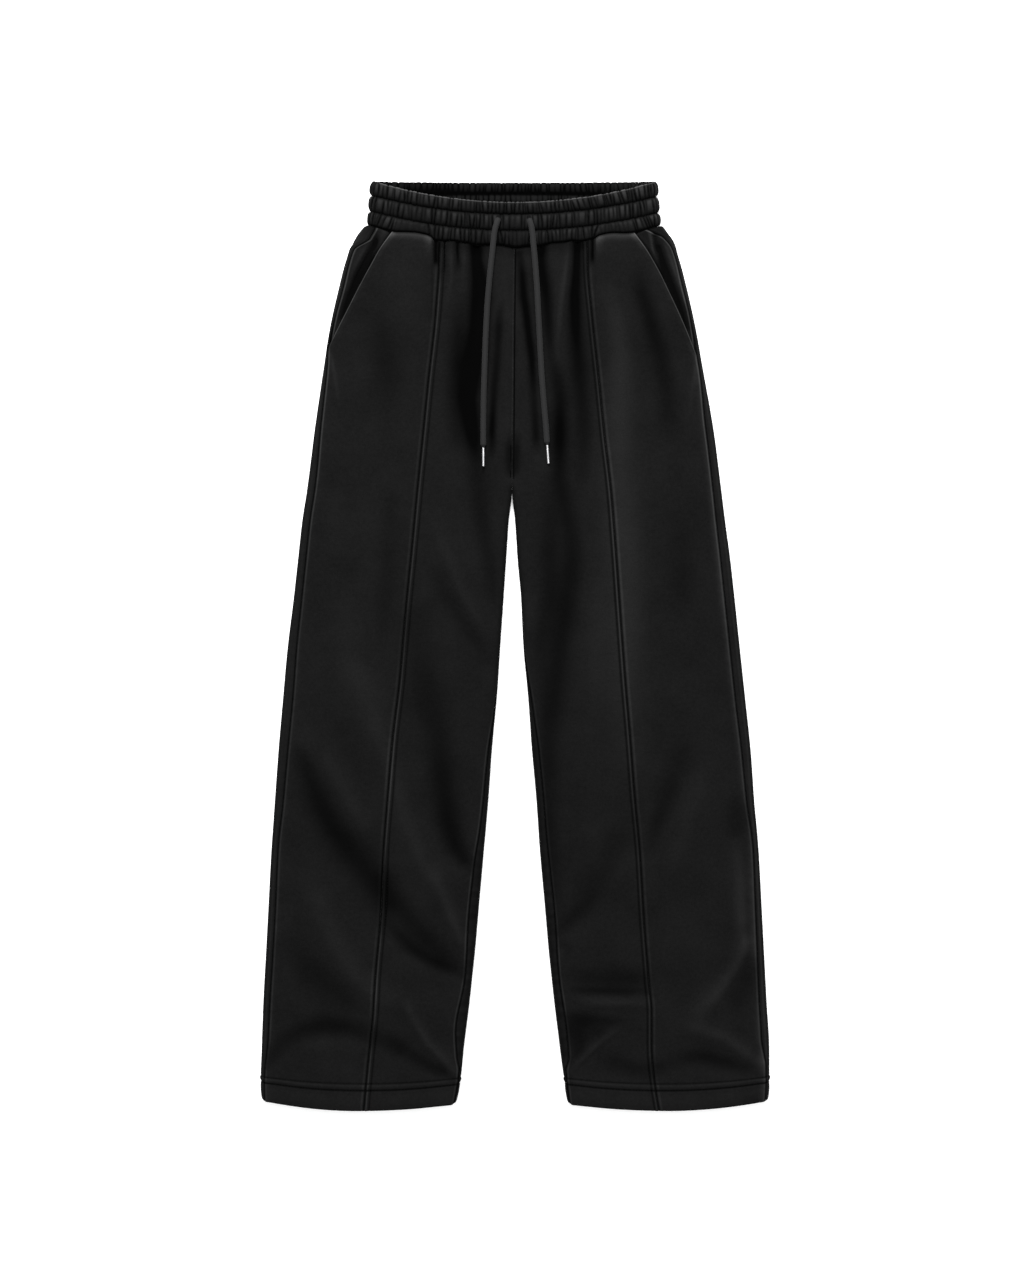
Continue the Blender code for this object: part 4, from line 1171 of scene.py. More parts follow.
class Panel:
    innerStep = panelSetup["innerStep"]

    def __init__(self, name, leg, heights, ways, onOuter, relief, depth=0.0, under=None):
        self.name = name
        h = heights[:, None] + 0 * ways
        self.heights, self.ways = heights, ways
        base = leg.place(h, ways, onOuter)
        self.normals = leg.normal(h, ways, onOuter)
        self.relief = relief(h, ways, base[..., 0])
        thin, thickHem = legSetup["cloth"], legSetup["hemWall"]
        overHem = ease((h - legSetup["hemDepth"]) / legSetup["hemStep"])
        thick = thickHem + (thin - thickHem) * overHem
        self.outer = base + self.normals * (self.relief - depth)[..., None]
        self.inner = base - self.normals * (depth + thick)[..., None]
        if under is not None:
            bed = under(self.outer)
            self.outer[..., 2] += bed
            self.inner[..., 2] += bed

    def build(self, material, paintedShading):
        rows, columns = self.outer.shape[:2]
        count = rows * columns
        top = np.arange(count).reshape(rows, columns)
        few = self.innerStep
        sparse = (len(range(0, rows, few)), len(range(0, columns, few)))
        coarse = np.arange(sparse[0] * sparse[1]).reshape(sparse) + count

        def cells(a, b, c, d):
            return np.stack((a, b, c, d), -1).reshape(-1, 4)

        def rim(outerEdge, innerEdge):
            # from a dense edge down to the hidden side's sparse one
            whole = outerEdge[:-1].reshape(-1, few)
            return np.column_stack((whole, outerEdge[few::few], innerEdge[1:], innerEdge[:-1]))

        groups = [
            cells(top[:-1, :-1], top[:-1, 1:], top[1:, 1:], top[1:, :-1]),
            cells(coarse[:-1, :-1], coarse[1:, :-1], coarse[1:, 1:], coarse[:-1, 1:]),
            rim(top[:, 0], coarse[:, 0]),
            rim(top[:, -1], coarse[:, -1])[:, ::-1],
            rim(top[0], coarse[0])[:, ::-1],
            rim(top[-1], coarse[-1]),
        ]
        hidden = self.inner[::few, ::few].reshape(-1, 3)
        points = np.concatenate((self.outer.reshape(-1, 3), hidden))
        uv = np.stack((self.ways, self.heights[:, None] + 0 * self.ways), -1)
        uv = np.concatenate((uv.reshape(-1, 2), uv[::few, ::few].reshape(-1, 2) + 1.2))
        hiddenSideShade = np.full(len(hidden), panelSetup["hiddenSideShade"])
        tone = np.concatenate((np.clip(paintedShading, 0, 1).ravel(), hiddenSideShade))
        i, j = rows // 2, columns // 2
        across, up = (self.outer[place] - self.outer[i, j] for place in ((i, j + 1), (i + 1, j)))
        if np.cross(across, up) @ self.normals[i, j] < 0:
            groups = [group[:, ::-1] for group in groups]
        made = writeMesh(self.name, points, groups, material, uv, tone)
        # the cut edges are flat, so that they don't tilt the shading of the cloth beside them
        smooth = np.repeat([True] * 2 + [False] * 4, [len(group) for group in groups])
        made.data.polygons.foreach_set("use_smooth", smooth)
        return made

    def lineDown(self, targets):
        # The panel's surface along a line: one distance round the section for each row.
        found = []
        for i, target in enumerate(targets):
            ways = self.ways[i]
            if ways[0] <= target <= ways[-1]:
                both = np.hstack((self.outer[i], self.normals[i]))
                found.append(readLine([target], ways, both)[0])
        return np.hsplit(np.array(found), 2)

    def lineAcross(self, targets):
        # The panel's surface along a line: one height for each column.
        both = np.concatenate((self.outer, self.normals), axis=-1)
        found = [readLine([t], self.heights, both[:, j])[0] for j, t in enumerate(targets)]
        return np.hsplit(np.array(found), 2)


toneLook = {
    "relief": 9.0 * mm,
    "reliefLimits": (-0.2, 0.04),
    "backLimits": (-0.2, 0.06),
    "ridge": 42,  # millimetres of lift to a whole tone
    "trough": 15,
    "bandShade": 0.7,  # painted shade in the troughs is deeper near the band
    "gatheredFrom": 700 * mm,
    "gatheredOver": 80 * mm,
    "limits": (-0.47, 0.14),
}


def toneOf(relief, x, height):
    # Painted shade in the hollows and painted highlight on the ridges, from the creases and the
    # relief.
    look = toneLook
    broad = creaseLift(x, height, upperCreases) / mm
    rise = ease((height - look["gatheredFrom"]) / look["gatheredOver"])
    bandShade = 1 + look["bandShade"] * rise
    broad = np.where(broad > 0, broad / look["ridge"], broad / look["trough"] * bandShade)
    fine = np.clip(relief / look["relief"], *look["reliefLimits"])
    return panelSetup["neutral"] + fine + np.clip(broad, *look["limits"])


rowHeights = panelRows()
heightColumn = rowHeights[:, None]
panels = {}


puffSetup = {
    "edge": {"right": -91.5, "left": 89.0},  # where the puff ends, near the front seam
    "rise": 3.4 * mm,
    "round": 3.4,
    "fall": 0.35,
    "fallOver": 95 * mm,
    "start": 850 * mm,
    "startOver": 70 * mm,
    "tuck": 1.6 * mm,  # how far its top turns in under the band
    "tuckOver": 4.5 * mm,
    "lights": {"top": (0.19, 11), "near": (0.05, 34), "mouth": (0.12, 9), "end": (0.11, 4.5, 9)},
    "gap": {"right": 0.34, "left": 0.2},  # painted shade in the gap beside the puff
    "gapDown": (22, 18),
    "gapEdge": 1.2,
    "gapSide": (0.4, 1.6),
    "shadows": ((0.46, 1.6), (0.16, 3)),
}
outerLook = {
    "seam": (1.1, 1.7), "seamRidge": (0.4, 2.4, 2.0),
    "mouth": (2.0, 2.4),
    "front": (1.5, 1.5),
    "mouthStart": 6 * mm, "mouthOver": 10 * mm,
    "seamShadow": 0.48, "seamLight": 0.06,
    "thighLight": (0.14, 2.0, 1.2), "thighFrom": 500 * mm, "thighOver": 350 * mm,
    # swell: painted light on the rounded edge beside the side seam
    "swell": {"right": 0.05, "left": 0.10}, "swellRise": 1.4, "swellFall": 9,
    "mouthLight": (0.38, 0.75, 1.2), "mouthGlow": (0.05, 3.5, 4),
    "frontShadow": (0.5, 2.3), "frontLight": (0.09, 3.4, 2.2),
}


def puffOf(leg, x, h):
    # The front beside the pocket stands up where it is gathered into the band.
    setup = puffSetup
    inward = (x / mm - setup["edge"][leg.side]) * leg.sign
    fall = 1 - setup["fall"] * ease((bandBottom - h) / setup["fallOver"])
    puff = setup["rise"] * ease(inward / setup["round"]) * fall
    return puff * ease((h - setup["start"]) / setup["startOver"])


def puffTone(leg, x, puffed, fromStart, toEnd):
    # Painted light on the puff's top and end, and painted shade in the gap beside it and under the
    # band.
    setup = puffSetup
    lights = setup["lights"]
    toTop = (bandBottom - heightColumn) / mm
    stands = puffed / setup["rise"]
    light, reach = lights["near"]
    near = fade(toTop, reach)
    tone = stands * (fading(toTop - 1, *lights["top"]) + light * near)
    tone = tone + near * fading(fromStart, *lights["mouth"])
    inward = (x / mm - setup["edge"][leg.side]) * leg.sign
    tone = tone + near * ridge(inward, *lights["end"]) * (inward > 0)
    start, over = setup["gapDown"]
    edge = setup["gapEdge"]
    gap = fade(toTop - start, over) * (inward < edge) * ease(toEnd / edge)
    start, over = setup["gapSide"]
    tone = tone - setup["gap"][leg.side] * gap * fade(inward + start, over)
    everywhere, flat = setup["shadows"]
    return tone - fading(toTop, *everywhere) - (1 - stands) * fading(toTop, *flat)


def makeFrontOuter(leg):
    look = outerLook
    end0 = mouthEnd[leg.side]
    side, mouth = leg.sideSeam(heightColumn), leg.mouth(heightColumn)
    start = np.where(heightColumn < end0, side, mouth) + seamGap
    end = leg.frontSeam(heightColumn, "outer") - seamGap
    ways = panelWays(start, end, panelSetup["frontMiddle"])
    pocket = ease((heightColumn - end0 + look["mouthStart"]) / look["mouthOver"])
    fromStart, toEnd = (ways - start) / mm, (end - ways) / mm

    def relief(h, s, x):
        seam = rolled(fromStart, *look["seam"]) + ridge(fromStart, *look["seamRidge"])
        lift = seam * (1 - pocket) + rolled(fromStart, *look["mouth"]) * pocket
        lift += rolled(toEnd, *look["front"])
        lift = lift * mm + seamPucker(h, s - start, 5) + seamPucker(h, end - s, 6)
        puff = puffOf(leg, x, h)
        atTop = fade(bandBottom - h, puffSetup["tuckOver"])
        tuck = puffSetup["tuck"] * atTop * ease((puff - 1 * mm) / (2 * mm))
        return lift + puff + hemRelief(leg, x, h) + topRelief(h) - tuck

    panel = Panel("frontOuter." + leg.side, leg, rowHeights, ways, True, relief)
    x = panel.outer[..., 0]
    puffed = puffOf(leg, x, heightColumn)
    # Painted shade and light: darker in the hollows, seams, the gap beside the puff and under the
    # band, lighter on ridges, edges, the pocket mouth and the puff.
    paintedShading = toneOf(panel.relief - puffed, x, heightColumn) + hemTone(leg, x, heightColumn)
    paintedShading += foldTone(ways)
    below = seamTone(fromStart, look["seamShadow"], look["seamLight"])
    thigh = ease((heightColumn - look["thighFrom"]) / look["thighOver"])
    below = below + ridge(fromStart, *look["thighLight"]) * thigh
    near = look["swellRise"]
    swell = fade(fromStart - near, look["swellFall"]) * ease(fromStart / near)
    below = below + look["swell"][leg.side] * swell
    above = ridge(fromStart, *look["mouthLight"]) + ridge(fromStart, *look["mouthGlow"])
    paintedShading += below * (1 - pocket) + above * pocket - fading(toEnd, *look["frontShadow"])
    paintedShading += ridge(toEnd, *look["frontLight"])
    paintedShading += puffTone(leg, x, puffed, fromStart, toEnd)
    made = panel.build(fleece, paintedShading)
    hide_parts("front_outer_" + leg.side)
    panels["frontOuter", leg.side] = panel
    return made


innerLook = {
    "seam": (1.0, 1.4), "seamRidge": (0.35, 2.4, 2.0),
    "front": (1.0, 0.9),
    "lineHalf": 0.85, "lineShadow": 0.24,
    "seamTone": (0.46, 0.12),
    "centreShadow": 0.48, "centreLight": {"right": 0.10, "left": 0.03}, "centreNarrow": 0.8,
    "frontShadow": (0.5, 1.4),
    "brightTo": 925 * mm, "brightOver": 40 * mm,
    "centreOver": 12 * mm, "showOver": 2 * mm,
}


def makeFrontInner(leg):
    look, seam = innerLook, seamLook[leg.side]
    start = leg.inseam(heightColumn) + seamGap
    end = leg.frontSeam(heightColumn, "inner") - seamGap
    ways = panelWays(start, end, panelSetup["frontMiddle"])
    fromStart, toEnd = (ways - start) / mm, (end - ways) / mm

    def relief(h, s, x):
        lift = rolled(fromStart, *look["seam"]) + ridge(fromStart, *look["seamRidge"])
        lift += rolled(toEnd, *look["front"])
        lift += ridge(toEnd, seam["ridge"], seam["ridgeAt"], seam["ridgeHalf"])
        lift -= seam["line"] * dent((toEnd - seam["lineAt"]) / look["lineHalf"])
        lift = lift * mm + seamPucker(h, s - start, 7) + seamPucker(h, end - s, 8)
        return lift + hemRelief(leg, x, h) + topRelief(h)

    panel = Panel("frontInner." + leg.side, leg, rowHeights, ways, False, relief, 0.0, cordBed)
    x = panel.outer[..., 0]
    # Painted shade and light: darker in the hollows, seams and under the band, lighter on the
    # ridges beside the seams.
    paintedShading = toneOf(panel.relief, x, heightColumn) + hemTone(leg, x, heightColumn)
    shows = ease(leg.inseam(heightColumn) / look["showOver"]) * (heightColumn < crotch)
    centre = ease((heightColumn - crotch) / look["centreOver"])
    paintedShading += foldTone(ways) * (1 - centre)
    paintedShading += shows * seamTone(fromStart, *look["seamTone"])
    narrow, light = fromStart * look["centreNarrow"], look["centreLight"][leg.side]
    paintedShading += centre * seamTone(narrow, look["centreShadow"], light)
    paintedShading -= fading(toEnd, *look["frontShadow"])
    paintedShading -= look["lineShadow"] * dent(toEnd - seam["lineAt"])
    bright = seam["bright"] * fade(heightColumn - look["brightTo"], look["brightOver"])
    paintedShading += ridge(toEnd, bright, seam["ridgeAt"], seam["ridgeHalf"])
    paintedShading += topTone(heightColumn)
    made = panel.build(fleece, paintedShading)
    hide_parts("front_inner_" + leg.side)
    panels["frontInner", leg.side] = panel
    return made


backLook = {
    "edge": (1.0, 1.6), "inseamRidge": (0.35, 2.6, 2.2), "sideRidge": (0.4, 2.8, 2.2),
    "leaf": 1.6 * mm, "leafAt": (7.5, 7), "leafHeight": 982 * mm, "leafHalf": 22 * mm,
    "hemBelow": 0.35, "hemSunk": 0.26 * mm, "hemSunkAt": 26 * mm,
    "seamShadows": ((0.46, 0.0), (0.48, -0.05)),
    # ripple and innerDark: uneven painted shade on the back's strip beside the inseam, stronger
    # near the hem
    "ripple": 0.10, "rippleWave": 9 * mm, "rippleFrom": 260 * mm, "rippleOver": 90 * mm,
    "innerDark": 0.14, "innerFrom": 3, "floorShare": 0.6, "join": 3 * mm,
    "light": {"right": 0.09, "left": 0.15}, "lightAt": (7.2, 3.4),
}


def makeBack(leg):
    # Columns run from the inseam under the leg to the side seam, each end from its own fold.
    look, many = backLook, panelSetup["backSide"]
    join = look["join"]  # from a fold to where the even columns begin
    radius = leg.radius(heightColumn)
    quarter = radius * math.pi / 2
    width = np.abs(leg.edge("outer", heightColumn) - leg.edge("inner", heightColumn))
    across = width - 2 * radius
    start, end = leg.inseam(heightColumn) - seamGap, leg.sideSeam(heightColumn) - seamGap
    offsets = np.array(panelSetup["edgeOffsets"]) * mm
    share = np.linspace(0, 1, many)[None]
    innerWays = start - offsets[None]
    innerLast = innerWays[:, -1:]
    innerMore = innerLast + (-quarter - join - innerLast) * share[:, 1:]
    under = np.linspace(0, 1, panelSetup["backMiddle"] + 2)[None, 1:-1]
    underStart, underEnd = -quarter - across + join, -quarter - join
    underWays = underStart + (underEnd - underStart) * under
    outerLast = end - offsets[None, ::-1]
    outerMore = underEnd + (outerLast[:, :1] - underEnd) * share[:, :-1]
    ways = np.concatenate((innerWays, innerMore, underWays, outerMore, outerLast), axis=1)
    inner = innerWays.shape[1] + innerMore.shape[1]
    onOuter = np.arange(ways.shape[1])[None] >= inner
    # distance from the two seams, all the way round
    ringWay = np.where(onOuter, ways, -quarter - across - (ways + quarter))
    fromStart, toEnd = (ringWay - ringWay[:, :1]) / mm, (ringWay[:, -1:] - ringWay) / mm

    def relief(h, s, x):
        lift = rolled(fromStart, *look["edge"]) + rolled(toEnd, *look["edge"])
        lift += ridge(fromStart, *look["inseamRidge"]) + ridge(toEnd, *look["sideRidge"])
        leaf = hump((h - look["leafHeight"]) / look["leafHalf"])
        lift = lift * mm + ridge(toEnd, look["leaf"], *look["leafAt"]) * leaf
        # the side on the floor has no raised lines
        up = np.where(s < -quarter * look["floorShare"], 0.0, 1.0)
        hem = hemRelief(leg, x, h) * (look["hemBelow"] + (1 - look["hemBelow"]) * up)
        at = look["hemSunkAt"]
        sunk = look["hemSunk"] * (1 - up) * hump((h - at) / at)
        return lift * up + np.minimum(0.0, lift) * (1 - up) + hem - sunk + topRelief(h)

    panel = Panel("back." + leg.side, leg, rowHeights, ways, onOuter, relief)
    panel.outer[..., 2] = np.maximum(panel.outer[..., 2], 0.0)
    panel.ways = ringWay
    x = panel.outer[..., 0]
    # Painted shade and light from the relief, the hem, the seams and the outermost fold; the strip
    # beside the inseam is painted darker.
    fine = np.clip(panel.relief / toneLook["relief"], *toneLook["backLimits"])
    paintedShading = panelSetup["neutral"] + fine + hemTone(leg, x, heightColumn)
    inseam, sideSeam = look["seamShadows"]
    paintedShading += seamTone(fromStart, *inseam) + seamTone(toEnd, *sideSeam) + foldTone(ways)
    low = fade(heightColumn - look["rippleFrom"], look["rippleOver"])
    waves = softWaves(heightColumn, ways * 0.3, 9, look["rippleWave"])
    shows = ease(ways / mm / look["innerFrom"] - 1)
    dark = shows * (look["ripple"] * waves * low - look["innerDark"])
    light = ridge(ways / mm, look["light"][leg.side], *look["lightAt"])
    paintedShading += np.where(onOuter, light, dark)
    made = panel.build(fleece, paintedShading + topTone(heightColumn))
    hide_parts("back_" + leg.side)
    panels["back", leg.side] = panel
    return made


facingSetup = {
    "drop": 3.4 * mm, "wide": 12 * mm, "tuck": 14 * mm, "start": 4 * mm,
    "last": 990 * mm, "rows": 46, "topRows": (992, 994, 995.5, 996.6, 997.5),
    "showing": 29, "hidden": 7,
    "seam": (1.0, 1.6), "seamRidge": (0.35, 2.6, 2.2),
    # ridge, trough and limits: painted shade and highlight on the folds; mouthShadow: painted
    # shadow under the front's mouth edge; glow: painted light beside the side seam
    "ridge": 12, "trough": 6.2, "limits": (-0.5, 0.16),
    "mouthShadow": (0.40, 0.8, 0.16), "seamTone": (0.40, 0.27), "glow": (0.06, 0.5),
    "topShadow": (0.40, 1.6), "topFade": (0.9, 0.1),
}
# Folds of the pocket facing, as for the body.
facingCreases = {
    "right": (
        ((-155.5, 994, 0, 2.4), (-155.5, 984, -1.8, 2.6), (-157, 975, -1.6, 2.6)),
        ((-157, 982, -1.8, 3.0), (-163, 966, -3.0, 4.2), (-170, 950, -3.8, 5.2),
         (-178, 934, -3.8, 5.6), (-186, 914, -3.4, 5.0), (-195, 892, -2.0, 3.4)),
        ((-165, 975, 0.8, 3), (-173, 962, 1.2, 3), (-180, 948, 0.8, 3), (-188, 925, 0.6, 3)),
        ((-147, 994, 1.4, 4), (-150, 985, 0.6, 3)),
    ),
    "left": (
        ((151, 996, 1.8, 3.0), (153.5, 984, 2.2, 2.4), (155, 972, 1.8, 2.6), (158, 958, 0.6, 3)),
        ((158, 994, -1.8, 2.6), (158, 978, -2.2, 2.8), (160, 971, -1.6, 3)),
        ((162, 973, -2.0, 3.4), (166, 955, -3.4, 4.4), (172, 937, -3.9, 5.0),
         (179, 918, -3.9, 5.2), (187, 898, -3.2, 4.6), (193, 881, -2.0, 3.4)),
        ((170, 972, 0.8, 3), (177, 952, 1.4, 3.4), (184, 930, 1.2, 3.2), (190, 910, 0.6, 3)),
    ),
}


def makeFacing(leg):
    setup, creases = facingSetup, facingCreases[leg.side]
    first = mouthEnd[leg.side] + setup["start"]
    even = np.linspace(first, setup["last"], setup["rows"])
    heights = np.concatenate((even, np.array(setup["topRows"]) * mm))
    column = heights[:, None]
    side, mouth = leg.sideSeam(column) + seamGap, leg.mouth(column)
    showing = np.linspace(0, 1, setup["showing"])[None]
    hidden = np.linspace(0, 1, setup["hidden"])[None, 1:]
    ways = np.concatenate(
        (side + (mouth - side) * showing, mouth + setup["tuck"] * hidden), axis=1
    )
    share = np.concatenate((showing, hidden * 0 + 1), axis=1)
    wide = np.minimum(1.0, (mouth - side) / setup["wide"])
    depth = setup["drop"] * (1 - wide * (1 - ease(share)))
    fromStart = (ways - side) / mm

    def relief(h, s, x):
        lift = rolled(fromStart, *setup["seam"]) + ridge(fromStart, *setup["seamRidge"])
        lift += creaseLift(x, h, creases) / mm
        start, over = setup["topFade"]
        return lift * mm * wide + topRelief(h) * fade(share - start, over)

    panel = Panel("pocketFacing." + leg.side, leg, heights, ways, True, relief, depth)
    panel.innerStep = 1
    # Painted shade in the folds, under the pocket mouth and under the band, and painted light
    # beside the side seam.
    folds = creaseLift(panel.outer[..., 0], column, creases) / mm
    folds = np.where(folds > 0, folds / setup["ridge"], folds / setup["trough"])
    paintedShading = panelSetup["neutral"] + np.clip(folds, *setup["limits"])
    dark, start, over = setup["mouthShadow"]
    paintedShading -= dark * ease((share - start) / over)
    paintedShading += seamTone(fromStart, *setup["seamTone"]) + fading(share, *setup["glow"])
    paintedShading -= fading((bandBottom - column) / mm, *setup["topShadow"])
    made = panel.build(fleece, paintedShading)
    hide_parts("pocket_facing_" + leg.side)
    panels["facing", leg.side] = panel
    return made


pieces = {}
legs = (Leg("right"), Leg("left"))
for leg in legs:
    pieces["frontOuter", leg.side] = makeFrontOuter(leg)
    pieces["frontInner", leg.side] = makeFrontInner(leg)
    pieces["back", leg.side] = makeBack(leg)
    pieces["facing", leg.side] = makeFacing(leg)
    print("panels are sewn:", leg.side)


# Waistband. Its left and right ends are those at -X and +X.
bandSetup = {
    "radius": 9.5 * mm,
    "wall": 6.2 * mm,
    "length": 331 * mm,  # from one end of the flat band to the other
    "half": ((162.4, 167.4), (160.2, 164.6)),  # half width left and right: top row, bottom row
    # share of the band's height at each sewn line
    "leftRows": (0.0, 0.32, 0.68, 1.0),
    "rightRows": (0.0, 0.34, 0.71, 1.0),
    "centreRows": (0.0, 0.26, 0.625, 1.0),
    "outerRows": (15, 16, 15),  # mesh rows in each channel
    "innerRows": 8,
    "lowTurns": (0.25, 0.5, 0.75),
    "topTurns": (0.85, 0.66, 0.48, 0.32, 0.16),
    "turnLift": (-0.5 * mm, 0.9 * mm),  # how the lower and the upper edge round over
    "groove": 2.9 * mm,
    "edge": 2.0 * mm,
    "bulgePower": 2.8,
    "insideShare": 0.7,
    "columns": 1330,
    "gatherEvery": (4.5, 4.9, 4.3),  # millimetres, in each channel
    "sizes": (0.55, 1.5),  # spread of the gathers, their depths and their crowns
    "depths": (0.4, 1.3),
    "crowns": (0.45, 1.35),
    "shallow": (0.2, 0.35),  # how many are shallow, and how shallow
    "gatherShift": 0.7,
    "gatherDrift": 0.8 * mm,
    "gatherBow": 0.35 * mm,
    "topLean": 2.2 * mm,  # the valleys of the top channel lean on the right
    "endLeans": (4.0 * mm, 3.2 * mm),  # and those of the bottom one at both ends
    "endLeanFrom": 0.72,
    "valley": 1.7 * mm,
    "crown": 0.8 * mm,
    "valleyWidth": 0.95 * mm,
    "narrow": 3.4 * mm,
    "usual": 4.5 * mm,
    "holds": (0.9, 0.6),
    "scallop": 0.3,
    "sewnWave": (0.3 * mm, 9 * mm),  # height and length
    "swell": (0.3 * mm, 60 * mm),
    "seed": 21,
    "sharp": 75,
}
# Painted shading of the band: highlight on the crowns and the front's top edge, shade in the
# valleys and sewn lines, each channel darker towards its bottom, shade on the hidden rims and
# inside the band.
bandLook = {
    "level": 0.455, "crown": 0.17, "valley": 0.60, "limits": (-0.5, 0.17),
    "sewn": 0.46, "edge": 0.10, "linePower": 7, "fall": 0.26, "fallFrom": 0.42,
    "bottom": (0.42, 0.6), "middle": 0.18, "middleAt": (-9, 64),
    "right": (0.05, 0.5, 0.35), "left": (0.03, 0.6, 0.3),
    "rim": 0.42, "rimValley": 0.05, "rimRow": (0.86, 0.13), "rimTurn": (0.45, 0.25),
    "hidden": 0.1,
    "inside": (0.04, 0.30, 0.2), "insideLeft": (0.24, 0.3),
}
# channel, x from and to, share of the usual depth: plain stretches
bandQuiet = (
    (2, -131, -97, 0.10), (1, -140, -108, 0.45), (2, -7, 16, 0.25), (2, 97, 133, 0.22),
    (1, -9, 8, 0.6),
)
# channel, x at its top and bottom line, depth: sharp folds
bandFolds = (
    (2, -97, -94, 1.7), (2, 96, 90, 1.6), (1, -130, -131, 1.3), (1, -89, -90, 1.3),
    (1, -76, -77, 1.3), (0, 139, 141, 1.3), (0, 1, 0, 1.2), (2, -16, -13, 1.3), (2, 18, 16, 1.3),
)
holeSetup = {
    "right": (-18.0, 1005.7), "left": (15.6, 1005.1), "across": 5.4, "along": 5.2, "depth": 4.8,
    "flat": 0.55, "dark": 1.6,
}
outerFace, innerFace, rimFace = 0, 1, 2


def bandProfile():
    # Rows of the band's loop: channel, place in it (-1 to 1), turn over an edge, lift, which face.
    low, high = bandSetup["turnLift"]
    rows = []
    for channel, steps in enumerate(bandSetup["outerRows"]):
        for k, q in enumerate(np.linspace(-1, 1, steps)):
            if k or not channel:
                place = math.copysign(abs(q) ** 0.8, q)
                rows.append((channel, place, 0.0, 0.0, outerFace))
    for turn in bandSetup["lowTurns"]:
        rows.append((2, 1.0, turn, low * math.sin(math.pi * turn), rimFace))
    for channel in (2, 1, 0):
        for k, q in enumerate(np.linspace(1, -1, bandSetup["innerRows"])):
            if k or channel == 2:
                rows.append((channel, q, 0.0, 0.0, innerFace))
    for turn in bandSetup["topTurns"]:
        rows.append((0, -1.0, turn, high * math.sin(math.pi * turn), rimFace))
    return rows


def gatherLines(channel, total, straight, dice):
    # The valleys of one channel: where each meets the sewn line above and below, and its depth.
    setup = bandSetup
    count = round(total / (setup["gatherEvery"][channel] * mm))
    sizes = dice.uniform(*setup["sizes"], count)
    starts = np.cumsum(sizes) / sizes.sum() * total
    share = starts / straight * 2 - 1  # -1 at the left end of the front, 1 at its right end
    front = starts < straight
    drift = setup["gatherDrift"]
    above, below = dice.normal(0, drift, count), dice.normal(0, drift, count)
    if channel == 0:
        lean = setup["topLean"] * np.sin(math.pi * np.clip(share, 0, 1))
        below = below + np.where(front & (share > 0), lean, 0)
    if channel == 2:
        (leftLean, rightLean), lean0 = setup["endLeans"], setup["endLeanFrom"]
        below = below - np.where(front, leftLean * ease((-lean0 - share) * 8), 0)
        below = below + np.where(front, rightLean * ease((share - lean0) * 8), 0)
    few, part = setup["shallow"]
    depth = dice.uniform(*setup["depths"], count)
    depth = depth * np.where(dice.random(count) < few, part, 1.0)
    tilt = dice.uniform(-1, 1, count)  # which of its ends is the deeper one
    crown = dice.uniform(*setup["crowns"], count)
    x = share * straight / 2 / mm + setup["gatherShift"]
    for which, low, high, part in bandQuiet:
        if which == channel:
            here = front & (x > low) & (x < high)
            depth = np.where(here, depth * part, depth)
            crown = np.where(here, 0.5 * crown * part + 0.3, crown)
    for which, top, bottom, part in bandFolds:
        if which == channel:
            k = int(np.argmin(np.where(front, np.abs(x - (top + bottom) / 2), 1e3)))
            starts[k] = ((top + bottom) / 2 - setup["gatherShift"]) * mm + straight / 2
            depth[k], tilt[k] = part, 0.0
            above[k], below[k] = (top - bottom) / 2 * mm, (bottom - top) / 2 * mm
    bow = dice.normal(0, setup["gatherBow"], count)
    return starts, above, below, depth, tilt, crown, bow


def gatherRow(lines, q, arc, total):
    # Lift of the gathers along one row, and the part of it that is valley.
    starts, above, below, depth, tilt, crown, bow = lines
    t = (q + 1) / 2
    spots = starts + above * (1 - t) + below * t + bow * (1 - q * q)
    order = np.argsort(spots)
    spots, depth, tilt, crown = (part[order] for part in (spots, depth, tilt, crown))
    depth = depth * np.clip(1 + tilt * (0.9 - 1.8 * t), 0.1, 1.6)
    spots = np.concatenate((spots[-1:] - total, spots, spots[:1] + total))
    depth, crown = (np.concatenate((part[-1:], part, part[:1])) for part in (depth, crown))
    cell = np.clip(np.searchsorted(spots, arc, side="right") - 1, 0, len(spots) - 2)
    before = np.maximum(arc - spots[cell], 0.0)
    after = np.maximum(spots[cell + 1] - arc, 0.0)
    size = np.maximum(before + after, 0.3 * mm)
    width = bandSetup["valleyWidth"] * np.clip(size / bandSetup["narrow"], 0.5, 1.0)
    dip = depth[cell] * np.exp(-((before / width) ** 1.5))
    dip = dip + depth[cell + 1] * np.exp(-((after / width) ** 1.5))
    share = np.clip(before / size, 0, 1)
    large = np.clip(size / bandSetup["usual"], 0.3, 1.4)
    return crown[cell] * (4 * share * (1 - share)) ** 0.7 * large, dip


